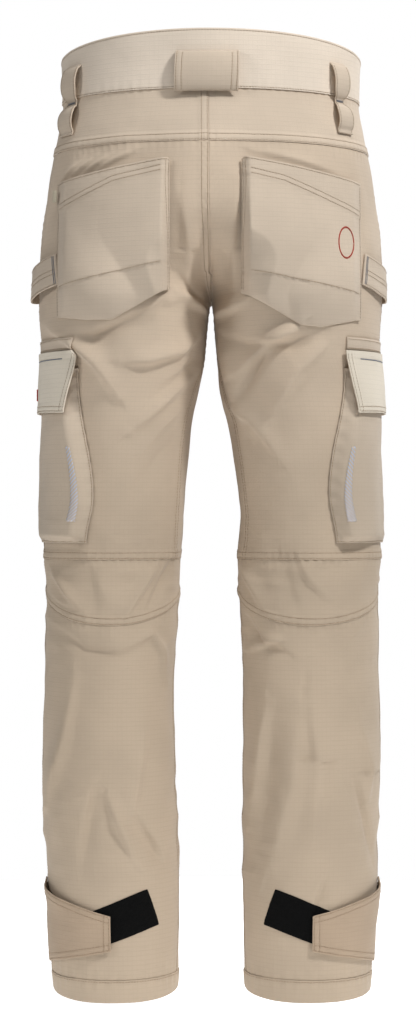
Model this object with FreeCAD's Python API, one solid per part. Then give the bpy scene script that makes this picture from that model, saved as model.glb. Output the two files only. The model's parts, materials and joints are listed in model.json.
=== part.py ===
"""Flame-resistant work trousers, as one assembly of sewn panels, pockets, loops, tabs and closures.

Frame: millimetres, +Z up, +Y the way the wearer faces, +X the wearer's right. The origin is the centre of
the waist opening, level with the front of the waistband. Heights in this file are measured above the hem and
turned into Z by one function. The right half is modelled and the left half is its mirror image.
"""

import FreeCAD
import Part

import math
import os

V = FreeCAD.Vector
OUT = "parts"

# ---- driving dimensions, mm ----
WAIST_H = 1040.0  # height of the origin, and of the waistband's front edge, above the hem
BAND_TOP_BACK = 1073.0
BAND_TOP_SIDE = 1054.0
BAND_SEAM = 1007.0  # seam under the waistband
YOKE_SEAM = 950.0
CROTCH = 779.0
HEM_SEAM = 25.0
HEM_RISE = 8.0  # how much higher the hem is at the front than at the back
CLOTH = 1.4  # one panel with its facing or seam allowance
GAP = 0.3  # clear space left between panels that are sewn together
FORK_TOP = 930.0  # where the seat starts to divide into legs

KNEE_TOP = 491.0  # upper knee seam
KNEE_SIDE = 450.0  # lower knee seam at the sides
KNEE_DIP = 32.0  # how far that seam drops at the back of the knee
KNEE_RISE = 14.0  # how far the knee panel's seams bow in front
HIP_LOW = 695.0  # the band of cloth that creases at the hip runs from here
HIP_TOP = 752.0  # to here
HIP_RISE = 18.0  # the upper edge of the hip band is this much higher at the side

# height, half width, half depth, centre y
HIP_SECTIONS = [
    (CROTCH, 194, 134, -8),
    (830, 193, 137, -8),
    (880, 188.5, 134, -7),
    (930, 182, 127, -5),
    (970, 174, 120, -3),
    (BAND_SEAM, 168, 115, 0),
    (1075, 170, 113, 0),
]
# height, inner edge x, half width, half depth, centre y
LEG_SECTIONS = [
    (0, 39, 71, 71, -6),
    (100, 37, 74.5, 74, -5),
    (260, 37, 77, 77, -3),
    (440, 34, 78, 80, 0),
    (520, 31, 81, 86, 0),
    (640, 20, 85.2, 100, -2),
    (720, 6, 92.2, 117, -4),
    (CROTCH, 0.4, 97, 126, -6),
    (850, 0.4, 97, 128, -6),
]

made = {}


# ---- shape functions ----
def along(stations, height):
    """Values between stations, by a cubic with averaged slopes."""
    if height <= stations[0][0]:
        return stations[0][1:]
    if height >= stations[-1][0]:
        return stations[-1][1:]
    i = max(k for k in range(len(stations) - 1) if stations[k][0] <= height)
    a, b = stations[i], stations[i + 1]
    before, after = stations[max(i - 1, 0)], stations[min(i + 2, len(stations) - 1)]
    width = b[0] - a[0]
    t = (height - a[0]) / width
    found = []
    for k in range(1, len(a)):
        slope_a = (b[k] - before[k]) / (b[0] - before[0]) * width
        slope_b = (after[k] - a[k]) / (after[0] - a[0]) * width
        found.append(
            (2 * t**3 - 3 * t**2 + 1) * a[k]
            + (t**3 - 2 * t**2 + t) * slope_a
            + (3 * t**2 - 2 * t**3) * b[k]
            + (t**3 - t**2) * slope_b
        )
    return found


def smooth(x, low=0.0, high=1.0):
    t = min(1.0, max(0.0, (x - low) / (high - low)))
    return t * t * (3 - 2 * t)


def mix(a, b, t):
    return a + (b - a) * t


def at(x, y, height):
    return V(x, y, height - WAIST_H)


def hip_point(turn, height):
    """A point of the waist and seat: turn 0 is the centre back, half a turn the centre front."""
    half, deep, mid = along(HIP_SECTIONS, height)
    angle = math.pi * turn
    return at(half * math.sin(angle), mid - deep * math.cos(angle), height)


def leg_point(u, height):
    """A point of the right leg: u 0 is the inseam, 0.25 the back, 0.5 the side, 0.75 the front."""
    inner, half, deep, mid = along(LEG_SECTIONS, height)
    angle = 2 * math.pi * u
    return at(inner + half - half * math.cos(angle), mid - deep * math.sin(angle), height)


def skin(u, height):
    """The right half of the cloth, from the waist (u 0 centre back, 1 centre front) down into the leg."""
    if height >= FORK_TOP:
        return hip_point(u, height)
    fork = (FORK_TOP - max(height, CROTCH)) / (FORK_TOP - CROTCH)
    at_seam = abs(math.cos(math.pi * u)) ** 4
    share = at_seam * fork**3 + (1 - at_seam) * (1 - smooth(height, 760, 900))
    point = hip_point(u, height) * (1 - share) + leg_point(u, height) * share
    point.x = max(point.x, GAP)
    return point


def outward(surface, u, height):
    """Unit normal of a surface, pointing away from the body."""
    du, dh = 0.002, 0.5
    low, high = max(u - du, 0.0), min(u + du, 1.0)
    across = surface(high, height) - surface(low, height)
    up = surface(u, height + dh) - surface(u, height - dh)
    return across.cross(up).normalize()


def lifted(u, height, lift, surface=skin):
    """The point that stands lift outside the cloth."""
    return surface(u, height) + outward(surface, u, height) * lift


# ---- solids ----
def closer(k, count):
    """Stations from 0 to 1 that lie closer together towards both ends."""
    return (1 - math.cos(math.pi * k / count)) / 2


def even(k, count):
    return k / count


def sheet_solid(surface, across, up, thick=CLOTH, spacing=even):
    """A closed solid of one thickness. surface(s, t) is its outer face, s and t from 0 to 1, with s running
    so that s cross t points outward."""
    step = 1e-3
    outer, inner = [], []
    for i in range(across + 1):
        outer_row, inner_row = [], []
        for j in range(up + 1):
            s, t = spacing(i, across), spacing(j, up)
            point = surface(s, t)
            ds = surface(min(s + step, 1), t) - surface(max(s - step, 0), t)
            dt = surface(s, min(t + step, 1)) - surface(s, max(t - step, 0))
            normal = ds.cross(dt).normalize()
            outer_row.append(point)
            inner_row.append(point - normal * thick)
        outer.append(outer_row)
        inner.append(inner_row)
    faces, borders = [], []
    for grid in (outer, inner):
        face = Part.BSplineSurface()
        face.interpolate(grid)
        u0, u1, v0, v1 = face.bounds()
        faces.append(face.toShape())
        borders.append([c.toShape() for c in (face.uIso(u0), face.uIso(u1), face.vIso(v0), face.vIso(v1))])
    for edge_out, edge_in in zip(*borders):
        faces.append(Part.makeRuledSurface(edge_out, edge_in))
    shell = Part.makeShell(faces)
    shell.sewShape(0.01)
    return closed(Part.makeSolid(shell))


def closed(solid):
    """The solid, right way out, or a stop if it isn't one."""
    if solid.Volume < 0:
        solid.reverse()
    assert solid.ShapeType == "Solid" and solid.isValid() and solid.Volume > 0, "not a closed solid"
    return solid


def mirrored(solid):
    return closed(solid.mirror(V(0, 0, 0), V(1, 0, 0)))


def node(name, *solids):
    made[name] = solids[0] if len(solids) == 1 else Part.makeCompound(list(solids))


def pair(name, *solids):
    """The same piece on the wearer's right and, mirrored, on the left."""
    node(name + "_right", *solids)
    node(name + "_left", *[mirrored(s) for s in solids])


def panel(u0, u1, low, high, lift=0.0, thick=CLOTH, across=12, up=12, surface=skin):
    """A panel between two seams in u and two in height. A seam is a number or a function of u."""
    low_at = low if callable(low) else lambda u: low
    high_at = high if callable(high) else lambda u: high

    def outer(s, t):
        u = mix(u0, u1, s)
        height = mix(low_at(u), high_at(u), t)
        return lifted(u, height, lift, surface) if lift else surface(u, height)

    return sheet_solid(outer, across, up, thick)


def block(width, deep, tall, centre, turn=0.0, round_by=0.6):
    """A rounded bar: width along X, deep along Y, tall along Z, tipped about X by turn degrees."""
    solid = Part.makeBox(width, deep, tall, V(-width / 2, -deep / 2, -tall / 2))
    solid = solid.makeFillet(round_by, solid.Edges)
    solid.rotate(V(0, 0, 0), V(1, 0, 0), turn)
    solid.translate(centre)
    return solid


# ---- seams ----
def knee_upper(u):
    return KNEE_TOP + (KNEE_RISE * math.sin(2 * math.pi * (u - 0.5)) if u > 0.5 else 0)


def knee_lower(u):
    dip = KNEE_DIP if u < 0.5 else KNEE_RISE
    return KNEE_SIDE - dip * abs(math.sin(2 * math.pi * u))


def hip_upper(u):
    return HIP_TOP + HIP_RISE * (1 - math.cos(2 * math.pi * u)) / 2


def band_top(u):
    """The waistband's upper edge, which falls from the back to the sides and on to the front."""
    far = BAND_TOP_BACK if u < 0.5 else 2 * BAND_TOP_SIDE - WAIST_H
    return mix(BAND_TOP_SIDE, far, math.cos(math.pi * u))


def hem_edge(u):
    """The lower edge of a leg, which is lowest at the back."""
    return HEM_RISE * (1 - max(0, math.sin(2 * math.pi * u))) ** 1.5


SEAM_U = 0.0008  # half of the space between two panels at a long seam


# ---- waist ----
BAND_THICK = 3.0
FLY_EDGE = 0.93  # where the front waistband gives way to its closing tab


def waist_full(s, t, low, high, lift, edge):
    """A surface round the whole back of the waist, from one side to the other."""
    u = mix(-edge, edge, s)
    height = mix(low(abs(u)), high(abs(u)), t)
    point = lifted(abs(u), height, lift, hip_point)
    return V(point.x * (1 if u >= 0 else -1), point.y, point.z)


def make_waist():
    seam = lambda u: BAND_SEAM + GAP
    side = 0.5 - SEAM_U
    node(
        "waistband_back",
        sheet_solid(lambda s, t: waist_full(s, t, seam, band_top, 1.2, side), 24, 5, BAND_THICK),
    )
    right = panel(0.5 + SEAM_U, 0.985, seam, band_top, 1.2, BAND_THICK, 10, 5, hip_point)
    left = panel(0.5 + SEAM_U, FLY_EDGE - 0.002, seam, band_top, 1.2, BAND_THICK, 9, 5, hip_point)
    node("waistband_front_right", right)
    node("waistband_front_left", mirrored(left))
    low = lambda u: BAND_SEAM + 4
    high = lambda u: band_top(u) - 3
    lining = sheet_solid(lambda s, t: waist_full(s, t, low, high, -2.2, 0.9), 28, 4, 1.0)
    node("waistband_lining", lining)
    pair("yoke", panel(SEAM_U, 0.5 - SEAM_U, YOKE_SEAM + GAP, BAND_SEAM - GAP, across=10, up=4))


# ---- seat, hips and legs ----
MOUTH_LOW = 858.0  # lower end of the slanted front pocket mouth
MOUTH_U = 0.63  # where the mouth meets the waistband


def mouth_u(height):
    """The slanted edge of the front panel, which is the front pocket's mouth."""
    return mix(0.5 + 2 * SEAM_U, MOUTH_U, smooth(height, MOUTH_LOW, BAND_SEAM + 60))


def front_hip(s, t):
    u = mix(0.5 + SEAM_U, 1 - SEAM_U, s)
    height = mix(hip_upper(u) + GAP, BAND_SEAM - GAP, t)
    return skin(mix(mouth_u(height), 1 - SEAM_U, s), height)


def make_seat():
    low = lambda u: hip_upper(u) + GAP
    pair("seat_panel", panel(SEAM_U, 0.5 - SEAM_U, low, YOKE_SEAM - GAP, across=16, up=14))
    pair("hip_front", sheet_solid(front_hip, 14, 16))
    pair("front_pocket_bag", sheet_solid(front_bag, 14, 16, 0.9, closer))


BAG_DEEP = 16.0


def front_bag(s, t):
    """The inner wall of the front pocket, sewn round its edge to the back of the front panel."""
    u = mix(0.492, 0.80, s)
    height = mix(796, BAND_SEAM - 3, t)
    edge = smooth(s, 0, 0.45) * (1 - smooth(s, 0.80, 1)) * smooth(t, 0, 0.20)
    return lifted(u, height, -(2.6 + BAG_DEEP * edge))


def make_legs():
    hip_low = HIP_LOW + GAP
    ring = [
        panel(a + SEAM_U, b - SEAM_U, hip_low, lambda u: hip_upper(u) - GAP, across=12, up=3)
        for a, b in ((0, 0.5), (0.5, 1))
    ]
    pair("leg_top", *ring)
    for name, a, b in (("back", 0, 0.5), ("front", 0.5, 1)):
        edges = (a + SEAM_U, b - SEAM_U)
        upper = lambda u: knee_upper(u) + GAP
        pair("thigh_" + name, panel(*edges, upper, HIP_LOW - GAP, across=12, up=9))
        low = lambda u: knee_lower(u) + GAP
        pair("knee_" + name, panel(*edges, low, lambda u: knee_upper(u) - GAP, across=12, up=4))
        high = lambda u: knee_lower(u) - GAP
        pair("shin_" + name, panel(*edges, HEM_SEAM + GAP, high, across=12, up=12))
    hem = [
        panel(a + SEAM_U, b - SEAM_U, hem_edge, HEM_SEAM - GAP, 0.6, 2.4, 12, 2)
        for a, b in ((0, 0.5), (0.5, 1))
    ]
    pair("hem", *hem)


# ---- pockets ----
SEWN = 2.2  # how far a pocket's outer face stands off the cloth where it is sewn down


def u_at(x, height):
    """Where the back of the cloth is x out from the centre."""
    low, high = 0.0, 0.5
    for _ in range(30):
        middle = (low + high) / 2
        low, high = (middle, high) if skin(middle, height).x < x else (low, middle)
    return (low + high) / 2


BACK_POCKET_X = (41.0, 167.0)  # the pocket's inner and outer edge, out from the centre
BACK_POCKET_SPAN = 14.0  # how far its face may bridge the hollow next to the fork


def back_pocket(s, t):
    """A patch pocket with bellows along its inner side and bottom, open along its slanting top."""
    upper = mix(932, 917, s)
    lower = mix(783, 749, smooth(s, 0, 0.5)) + mix(0, 8, smooth(s, 0.6, 1))
    height = mix(lower, upper, t)
    x = mix(*BACK_POCKET_X, s)
    cloth = skin(u_at(x, height), height).y
    half, deep, mid = along(HIP_SECTIONS, height)
    seat = mid - deep * math.sqrt(1 - (x / half) ** 2)
    base = min(cloth, max(seat, cloth - BACK_POCKET_SPAN))
    full = SEWN + mix(14, 7.5, smooth(t, 0.05, 0.95))
    walls = smooth(s, 0, 0.11) * (1 - smooth(s, 0.89, 1)) * smooth(t, 0, 0.08)
    slant = SEWN + 3.0 * smooth(s, 0.4, 1) + 1.5 * (1 - smooth(s, 0, 0.3))
    return at(x, mix(cloth - slant, base - full, walls), height)


CARGO_FRONT = 0.578
CARGO_H = (510.0, 702.0)
CARGO_DEEP = 15.0  # at the rear edge
CARGO_SIDE = 3.2  # at the side of the leg


def cargo_rear(t):
    """The pouch's rear edge, which swells low down and narrows under the flap."""
    return 0.303 - 0.014 * smooth(t, 0, 0.25) + 0.046 * smooth(t, 0.25, 1)


def cargo_pocket(s, t):
    """A bellows pouch, open along its top and sewn to the thigh round its other three sides."""
    u = mix(cargo_rear(t), CARGO_FRONT, s)
    walls = smooth(s, 0, 0.12) * (1 - smooth(s, 0.88, 1)) * smooth(t, 0, 0.08)
    full = mix(CARGO_DEEP, CARGO_SIDE, smooth(u, 0.34, 0.46)) * mix(1, 0.3, smooth(t, 0.6, 1))
    return lifted(u, mix(*CARGO_H, t), SEWN + full * walls)


FLAP_U = (0.334, 0.566)
FLAP_H = (655.0, 722.0)
FLAP_THICK = 1.6
FOLD = 19.0  # height of the flap's bending strip, under its seam


def flap_face(s, t):
    """The flap's outer face, with its bending strip, from its free edge up to its seam."""
    u = mix(*FLAP_U, s)
    low = mix(17.6, 8.8, smooth(u, 0.34, 0.46))
    return lifted(u, mix(*FLAP_H, t), mix(low, 4.8, smooth(t, 0, 1.1)))


FOLD_T = 1 - FOLD / (FLAP_H[1] - FLAP_H[0])


def cargo_flap(s, t):
    return flap_face(s, t * FOLD_T)


def flap_fold(s, t):
    return flap_face(s, mix(FOLD_T + 0.006, 1, t))


def flap_hook(s, t):
    """Hook tape on the inside of the flap."""
    s_flap, t_flap = mix(0.32, 0.68, s), mix(0.12, 0.42, t)
    face = flap_face(s_flap, t_flap)
    inward = outward(skin, mix(*FLAP_U, s_flap), mix(*FLAP_H, t_flap)) * -1
    return face + inward * (FLAP_THICK + 0.1)


def make_pockets():
    pair("back_pocket", sheet_solid(back_pocket, 24, 24, spacing=closer))
    pair("cargo_pocket", sheet_solid(cargo_pocket, 24, 26, spacing=closer))
    pair("flap_base", panel(0.352, 0.556, 723.5, 735, 2.0, across=10, up=2))
    pair("flap_fold", sheet_solid(flap_fold, 14, 3, FLAP_THICK))
    pair("cargo_flap", sheet_solid(cargo_flap, 14, 8, FLAP_THICK))
    pair("flap_hook_tape", sheet_solid(flap_hook, 6, 3, 0.8))
    pair("knee_pad_pocket", sheet_solid(knee_pocket, 18, 18, spacing=closer))


KNEE_POCKET = (0.625, 0.875, 395.0, 560.0)  # its edges round the leg, then its bottom and top


def knee_pocket(s, t):
    """A pouch for a knee pad, open along its top."""
    u0, u1, low, high = KNEE_POCKET
    walls = smooth(s, 0, 0.14) * (1 - smooth(s, 0.86, 1)) * smooth(t, 0, 0.12)
    return lifted(mix(u0, u1, s), mix(low, high, t), SEWN + 8.5 * walls)


# ---- loops ----
LOOP_THICK = 1.6
LOOP_ROOM = 8.0  # how far a belt loop stands off its ends
WIDE_ROOM = 9.0


def strap(u0, u1, low, high, lift_at, across, up, thick=LOOP_THICK):
    def outer(s, t):
        return lifted(mix(u0, u1, s), mix(low, high, t), lift_at(s, t), hip_point)

    return sheet_solid(outer, across, up, thick)


def arch(t, start, end, power=0.5):
    """Rises from 0 at start to 1 and falls to 0 at end."""
    return math.sin(math.pi * min(1, max(0, (t - start) / (end - start)))) ** power


def two_step(s, t):
    """A long loop with a belt space above and a small tool space below."""
    return 3.0 + LOOP_ROOM * arch(t, 0.50, 0.98) + 6.5 * arch(t, 0.06, 0.42, 0.6)


def one_step(s, t):
    return 3.0 + LOOP_ROOM * arch(t, 0, 1)


def wide_loop(s, t):
    """The broad loop at the centre back, which runs over both halves."""
    half = 0.0645
    u = mix(-half, half, s)
    point = lifted(abs(u), mix(1001, 1047, t), 3.0 + WIDE_ROOM * arch(t, 0, 1), hip_point)
    return V(point.x * (1 if u >= 0 else -1), point.y, point.z)


def hammer_loop(s, t):
    """A broad cloth loop at the side, held at both ends and standing off between them."""
    u = mix(0.366, 0.63, s)
    sag = 12 * math.sin(math.pi * s)
    stand = math.sin(math.pi * s) ** 0.5
    return lifted(u, mix(794 - sag, 829 - sag, t), 2.2 + mix(7.4, 6.2, t) * stand)


def both(solid):
    return solid, mirrored(solid)


def make_loops():
    node("belt_loop_centre", sheet_solid(wide_loop, 14, 12, LOOP_THICK))
    node("belt_loops_side", *both(strap(0.330, 0.408, 964, 1043, two_step, 8, 22)))
    node("belt_loops_front", *both(strap(0.70, 0.728, BAND_SEAM - 6, 1034, one_step, 4, 14)))
    pair("hammer_loop", sheet_solid(hammer_loop, 22, 8, LOOP_THICK))


# ---- fly and waist closure ----
ZIP_TOP = 998.0
ZIP_LOW = 880.0
ZIP_FORWARD = (128.4, 119.6)  # y of its lower and upper end: a straight line just clear of the belly's curve


def front_y(x, height):
    """How far forward the front of the cloth is, x out from the centre."""
    low, high = 0.5, 1.0
    for _ in range(30):
        middle = (low + high) / 2
        low, high = (low, middle) if skin(middle, height).x < x else (middle, high)
    return skin((low + high) / 2, height).y


def zip_line():
    """Lower and upper end of the straight line that the slider runs along."""
    return at(0, ZIP_FORWARD[0], ZIP_LOW), at(0, ZIP_FORWARD[1], ZIP_TOP)


def bar_on_zip(width, deep, start, end, x=0.0, out=0.0):
    """A square bar along the zip's line, from start to end in mm above its lower end."""
    low, high = zip_line()
    run = high - low
    tip = -math.degrees(math.atan2(run.y, run.z))
    unit = V(run).normalize()
    side = V(0, unit.z, -unit.y)
    centre = low + unit * ((start + end) / 2) + side * out + V(x, 0, 0)
    return block(width, deep, end - start, centre, tip, min(width, deep) * 0.2)


def zip_teeth():
    """One side's row of coil teeth."""
    low, high = zip_line()
    length = (high - low).Length
    pitch = 5.0
    count = int(length // pitch)
    return [bar_on_zip(1.7, 1.6, k * pitch, k * pitch + 3.6, x=1.15) for k in range(count)]


def placket(s, t):
    """The fly's outer flap: sewn along a J on the wearer's left, free along the centre."""
    sewn_x = 2 - 34 * (1 - smooth(0.16 - t, 0, 0.16) ** 2)
    x = mix(sewn_x, 7, s)
    height = mix(846, BAND_SEAM - 3, t)
    y = front_y(max(abs(x), 14), height)
    return at(x, y + 2.8 + 7.8 * smooth(x, -26, -8), height)


def make_fly():
    node("fly_placket", sheet_solid(lambda s, t: placket(1 - s, t), 10, 12, 1.2))
    low, high = zip_line()
    length = (high - low).Length
    tapes = [bar_on_zip(9, 0.7, -4, length + 1, x=side * 5.2, out=-1.3) for side in (1, -1)]
    node("zip_tapes", *tapes)
    teeth = zip_teeth()
    mirrored_teeth = [t.mirror(V(0, 0, 0), V(1, 0, 0)) for t in teeth]
    node("zip_teeth", *teeth, *mirrored_teeth)
    slider = [
        bar_on_zip(8, 1.4, length - 14, length - 4, out=2.1),
        bar_on_zip(3, 1.0, length - 32, length - 9, out=3.5),
    ]
    node("zip_slider", *slider)
    node("waist_tab", waist_tab())
    node("snap_cap", snap(TAB_STAND + 0.5, 7.5, 2.0))
    node("snap_stud", snap(1.5, 5.0, 1.2))


TAB_STAND = 5.6
SNAP_X = 14.0


def waist_tab():
    """The end of the left waistband, which crosses the centre and closes over the right one."""
    root = -hip_point(FLY_EDGE, 1027).x + 0.4

    def outer(s, t):
        x = mix(root, 30, s)
        height = mix(BAND_SEAM + 1.5, WAIST_H - 1, t)
        half, deep, mid = along(HIP_SECTIONS, height)
        y = mid + deep * math.sqrt(1 - (x / half) ** 2)
        return at(x, y + mix(1.2, TAB_STAND, smooth(x, -28, -8)), height)

    return sheet_solid(lambda s, t: outer(1 - s, t), 10, 4, 2.4)


def snap(stand, radius, tall):
    """A round snap part on the waist closure, facing forward."""
    height = (BAND_SEAM + WAIST_H) / 2
    half, deep, mid = along(HIP_SECTIONS, height)
    y = mid + deep * math.sqrt(1 - (SNAP_X / half) ** 2)
    disc = Part.makeCylinder(radius, tall, at(SNAP_X, y + stand, height), V(0, 1, 0))
    return disc.makeFillet(0.5, [disc.Edges[0]])


# ---- ankle ----
TAB_ROOT = (34.0, 128.0)
TAB_END = (58.0, 97.0)
TAB_U = (0.252, 0.500)
TAB_LIFT = 4.2
TAB_THICK = 1.4


def ankle_tab(s, t, lift=TAB_LIFT):
    """A tapered tab, sewn at the side and wrapped to the back of the leg."""
    low, high = mix(TAB_END[0], TAB_ROOT[0], s), mix(TAB_END[1], TAB_ROOT[1], s)
    return lifted(mix(*TAB_U, s), mix(low, high, t), lift)


def tab_hook(s, t):
    """Hook tape on the inside of the tab's free end."""
    return ankle_tab(mix(0.03, 0.30, s), mix(0.14, 0.86, t), TAB_LIFT - TAB_THICK - 0.1)


def loop_patch(s, t):
    """Loop tape on the back of the leg, where the tab fastens."""
    u = mix(mix(0.126, 0.160, t), 0.345, s)
    height = mix(86, 52, smooth(s, -0.2, 1.2)) + 41 * t
    return lifted(u, height, 1.3)


def make_ankles():
    pair("ankle_tab", sheet_solid(ankle_tab, 12, 4, TAB_THICK))
    pair("tab_hook_tape", sheet_solid(tab_hook, 4, 3, 0.8))
    pair("loop_patch", sheet_solid(loop_patch, 12, 4, 1.0))


def main():
    os.makedirs(OUT, exist_ok=True)
    for make in (make_waist, make_seat, make_legs, make_pockets, make_loops, make_fly, make_ankles):
        make()
    for name in os.listdir(OUT):
        if name.endswith(".step") and name[:-5] not in made:
            os.remove(os.path.join(OUT, name))
    for name, shape in sorted(made.items()):
        assert shape.isValid(), name
        shape.exportStep(os.path.join(OUT, name + ".step"))
    print(len(made), "nodes")


main()
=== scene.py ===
"""Flame-resistant work trousers: the cloth, seams, pockets and closures that show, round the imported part.

Lengths here are millimetres until a mesh is made, and heights are measured above the hem, as in the part.
"""

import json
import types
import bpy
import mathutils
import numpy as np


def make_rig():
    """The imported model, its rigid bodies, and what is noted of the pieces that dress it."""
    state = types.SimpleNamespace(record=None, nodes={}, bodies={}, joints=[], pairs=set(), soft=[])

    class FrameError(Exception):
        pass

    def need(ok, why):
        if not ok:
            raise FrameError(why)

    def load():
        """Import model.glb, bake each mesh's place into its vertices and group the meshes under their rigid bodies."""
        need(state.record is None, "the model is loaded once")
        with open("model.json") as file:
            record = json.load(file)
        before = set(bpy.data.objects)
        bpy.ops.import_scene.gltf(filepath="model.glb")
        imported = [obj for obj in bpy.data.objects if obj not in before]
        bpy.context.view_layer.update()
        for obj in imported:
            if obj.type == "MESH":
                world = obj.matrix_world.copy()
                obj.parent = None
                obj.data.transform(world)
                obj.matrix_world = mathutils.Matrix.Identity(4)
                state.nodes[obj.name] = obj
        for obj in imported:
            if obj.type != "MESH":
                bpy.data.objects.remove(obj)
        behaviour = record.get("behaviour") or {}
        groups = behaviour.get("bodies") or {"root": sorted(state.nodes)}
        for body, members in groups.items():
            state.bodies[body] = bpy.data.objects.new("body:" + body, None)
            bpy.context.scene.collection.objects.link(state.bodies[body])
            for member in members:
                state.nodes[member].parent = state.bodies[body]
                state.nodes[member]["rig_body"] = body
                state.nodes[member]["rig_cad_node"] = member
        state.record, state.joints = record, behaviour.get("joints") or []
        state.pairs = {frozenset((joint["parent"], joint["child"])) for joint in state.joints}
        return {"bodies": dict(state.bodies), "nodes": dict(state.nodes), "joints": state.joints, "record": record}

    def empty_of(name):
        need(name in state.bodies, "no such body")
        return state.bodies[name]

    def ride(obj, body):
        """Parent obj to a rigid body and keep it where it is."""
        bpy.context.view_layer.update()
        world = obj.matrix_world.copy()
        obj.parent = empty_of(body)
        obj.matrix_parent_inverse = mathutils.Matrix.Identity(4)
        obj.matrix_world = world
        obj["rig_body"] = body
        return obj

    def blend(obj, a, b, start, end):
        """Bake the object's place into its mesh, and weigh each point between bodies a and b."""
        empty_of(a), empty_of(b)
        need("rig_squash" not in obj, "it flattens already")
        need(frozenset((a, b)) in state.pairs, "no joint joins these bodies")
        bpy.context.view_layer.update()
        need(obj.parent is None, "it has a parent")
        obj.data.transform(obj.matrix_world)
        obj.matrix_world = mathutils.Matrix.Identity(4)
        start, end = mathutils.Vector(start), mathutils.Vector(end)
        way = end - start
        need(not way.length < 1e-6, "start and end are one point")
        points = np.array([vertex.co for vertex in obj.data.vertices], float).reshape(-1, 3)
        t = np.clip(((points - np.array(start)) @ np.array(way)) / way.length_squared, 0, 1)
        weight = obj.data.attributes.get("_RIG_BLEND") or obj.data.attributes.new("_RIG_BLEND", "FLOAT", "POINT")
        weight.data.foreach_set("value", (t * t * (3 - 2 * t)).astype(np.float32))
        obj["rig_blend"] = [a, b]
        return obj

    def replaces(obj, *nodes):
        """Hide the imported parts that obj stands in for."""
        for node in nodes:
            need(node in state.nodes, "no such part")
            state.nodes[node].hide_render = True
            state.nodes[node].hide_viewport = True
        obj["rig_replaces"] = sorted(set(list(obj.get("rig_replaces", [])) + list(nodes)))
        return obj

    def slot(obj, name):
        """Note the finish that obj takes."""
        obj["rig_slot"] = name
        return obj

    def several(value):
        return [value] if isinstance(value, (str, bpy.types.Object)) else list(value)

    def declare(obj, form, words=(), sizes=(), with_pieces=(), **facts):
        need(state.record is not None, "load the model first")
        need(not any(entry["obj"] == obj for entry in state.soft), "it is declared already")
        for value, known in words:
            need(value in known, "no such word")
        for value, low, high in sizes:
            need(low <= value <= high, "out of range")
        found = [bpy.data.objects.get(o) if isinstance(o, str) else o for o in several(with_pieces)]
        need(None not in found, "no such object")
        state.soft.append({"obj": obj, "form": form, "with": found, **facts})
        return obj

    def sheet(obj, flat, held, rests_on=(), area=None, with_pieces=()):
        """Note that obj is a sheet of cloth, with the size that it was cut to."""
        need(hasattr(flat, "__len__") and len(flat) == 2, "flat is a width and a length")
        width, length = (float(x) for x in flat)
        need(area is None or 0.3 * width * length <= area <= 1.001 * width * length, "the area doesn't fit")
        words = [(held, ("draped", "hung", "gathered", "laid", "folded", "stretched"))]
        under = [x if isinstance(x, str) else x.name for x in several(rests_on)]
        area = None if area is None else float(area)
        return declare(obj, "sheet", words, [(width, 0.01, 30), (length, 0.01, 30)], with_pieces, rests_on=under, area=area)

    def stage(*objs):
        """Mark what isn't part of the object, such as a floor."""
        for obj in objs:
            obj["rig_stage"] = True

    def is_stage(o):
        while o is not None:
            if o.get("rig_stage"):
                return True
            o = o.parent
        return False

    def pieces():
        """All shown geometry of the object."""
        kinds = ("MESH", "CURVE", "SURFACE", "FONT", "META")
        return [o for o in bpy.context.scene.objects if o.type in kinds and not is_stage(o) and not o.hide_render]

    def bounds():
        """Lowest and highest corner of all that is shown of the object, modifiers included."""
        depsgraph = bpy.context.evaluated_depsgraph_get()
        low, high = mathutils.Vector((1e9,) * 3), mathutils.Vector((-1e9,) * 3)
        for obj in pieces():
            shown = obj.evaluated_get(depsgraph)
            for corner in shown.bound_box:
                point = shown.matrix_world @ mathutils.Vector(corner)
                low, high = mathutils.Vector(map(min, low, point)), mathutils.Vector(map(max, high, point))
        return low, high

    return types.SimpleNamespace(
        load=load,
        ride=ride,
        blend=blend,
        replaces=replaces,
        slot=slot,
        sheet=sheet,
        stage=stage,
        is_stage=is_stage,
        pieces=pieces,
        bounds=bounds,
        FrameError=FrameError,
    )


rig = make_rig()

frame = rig.load()
cad_box = [list(c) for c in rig.bounds()]

import json
import math

import bpy
import numpy as np
from mathutils import Vector

# ---- dimensions shared with the part, mm ----
WAIST_H = 1040.0
BAND_TOP_BACK, BAND_TOP_SIDE, BAND_SEAM = 1073.0, 1054.0, 1007.0
YOKE_SEAM, CROTCH, FORK_TOP = 947.5, 779.0, 930.0
KNEE_TOP, KNEE_SIDE, KNEE_DIP, KNEE_RISE = 491.0, 450.0, 32.0, 14.0
HEM_SEAM, HEM_RISE = 25.0, 8.0
SEAM_U = 0.0003
SIDES = ((1, "right"), (-1, "left"))
HIP_SECTIONS = np.array([
    (779, 194, 134, -8), (830, 193, 137, -8), (880, 188.5, 134, -7), (930, 182, 127, -5),
    (970, 174, 120, -3), (1007, 168, 115, 0), (1075, 170, 113, 0)], float)
LEG_SECTIONS = np.array([
    (0, 39, 71, 71, -6), (100, 37, 74.5, 74, -5), (260, 37, 77, 77, -3), (440, 34, 78, 80, 0),
    (520, 31, 81, 86, 0), (640, 20, 85.2, 100, -2), (720, 6, 92.2, 117, -4), (779, 0.4, 97, 126, -6),
    (850, 0.4, 97, 128, -6)], float)


# ---- shape functions ----
def smooth(x, low=0.0, high=1.0):
    t = np.clip((np.asarray(x, float) - low) / (high - low), 0, 1)
    return t * t * (3 - 2 * t)


def mix(a, b, t):
    return a + (b - a) * t


def table(x, *stations):
    """A value that changes smoothly between (x, value) stations."""
    xs, values = np.array(stations, float).T
    i = np.clip(np.searchsorted(xs, x) - 1, 0, len(xs) - 2)
    return mix(values[i], values[i + 1], smooth((x - xs[i]) / (xs[i + 1] - xs[i])))


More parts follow.
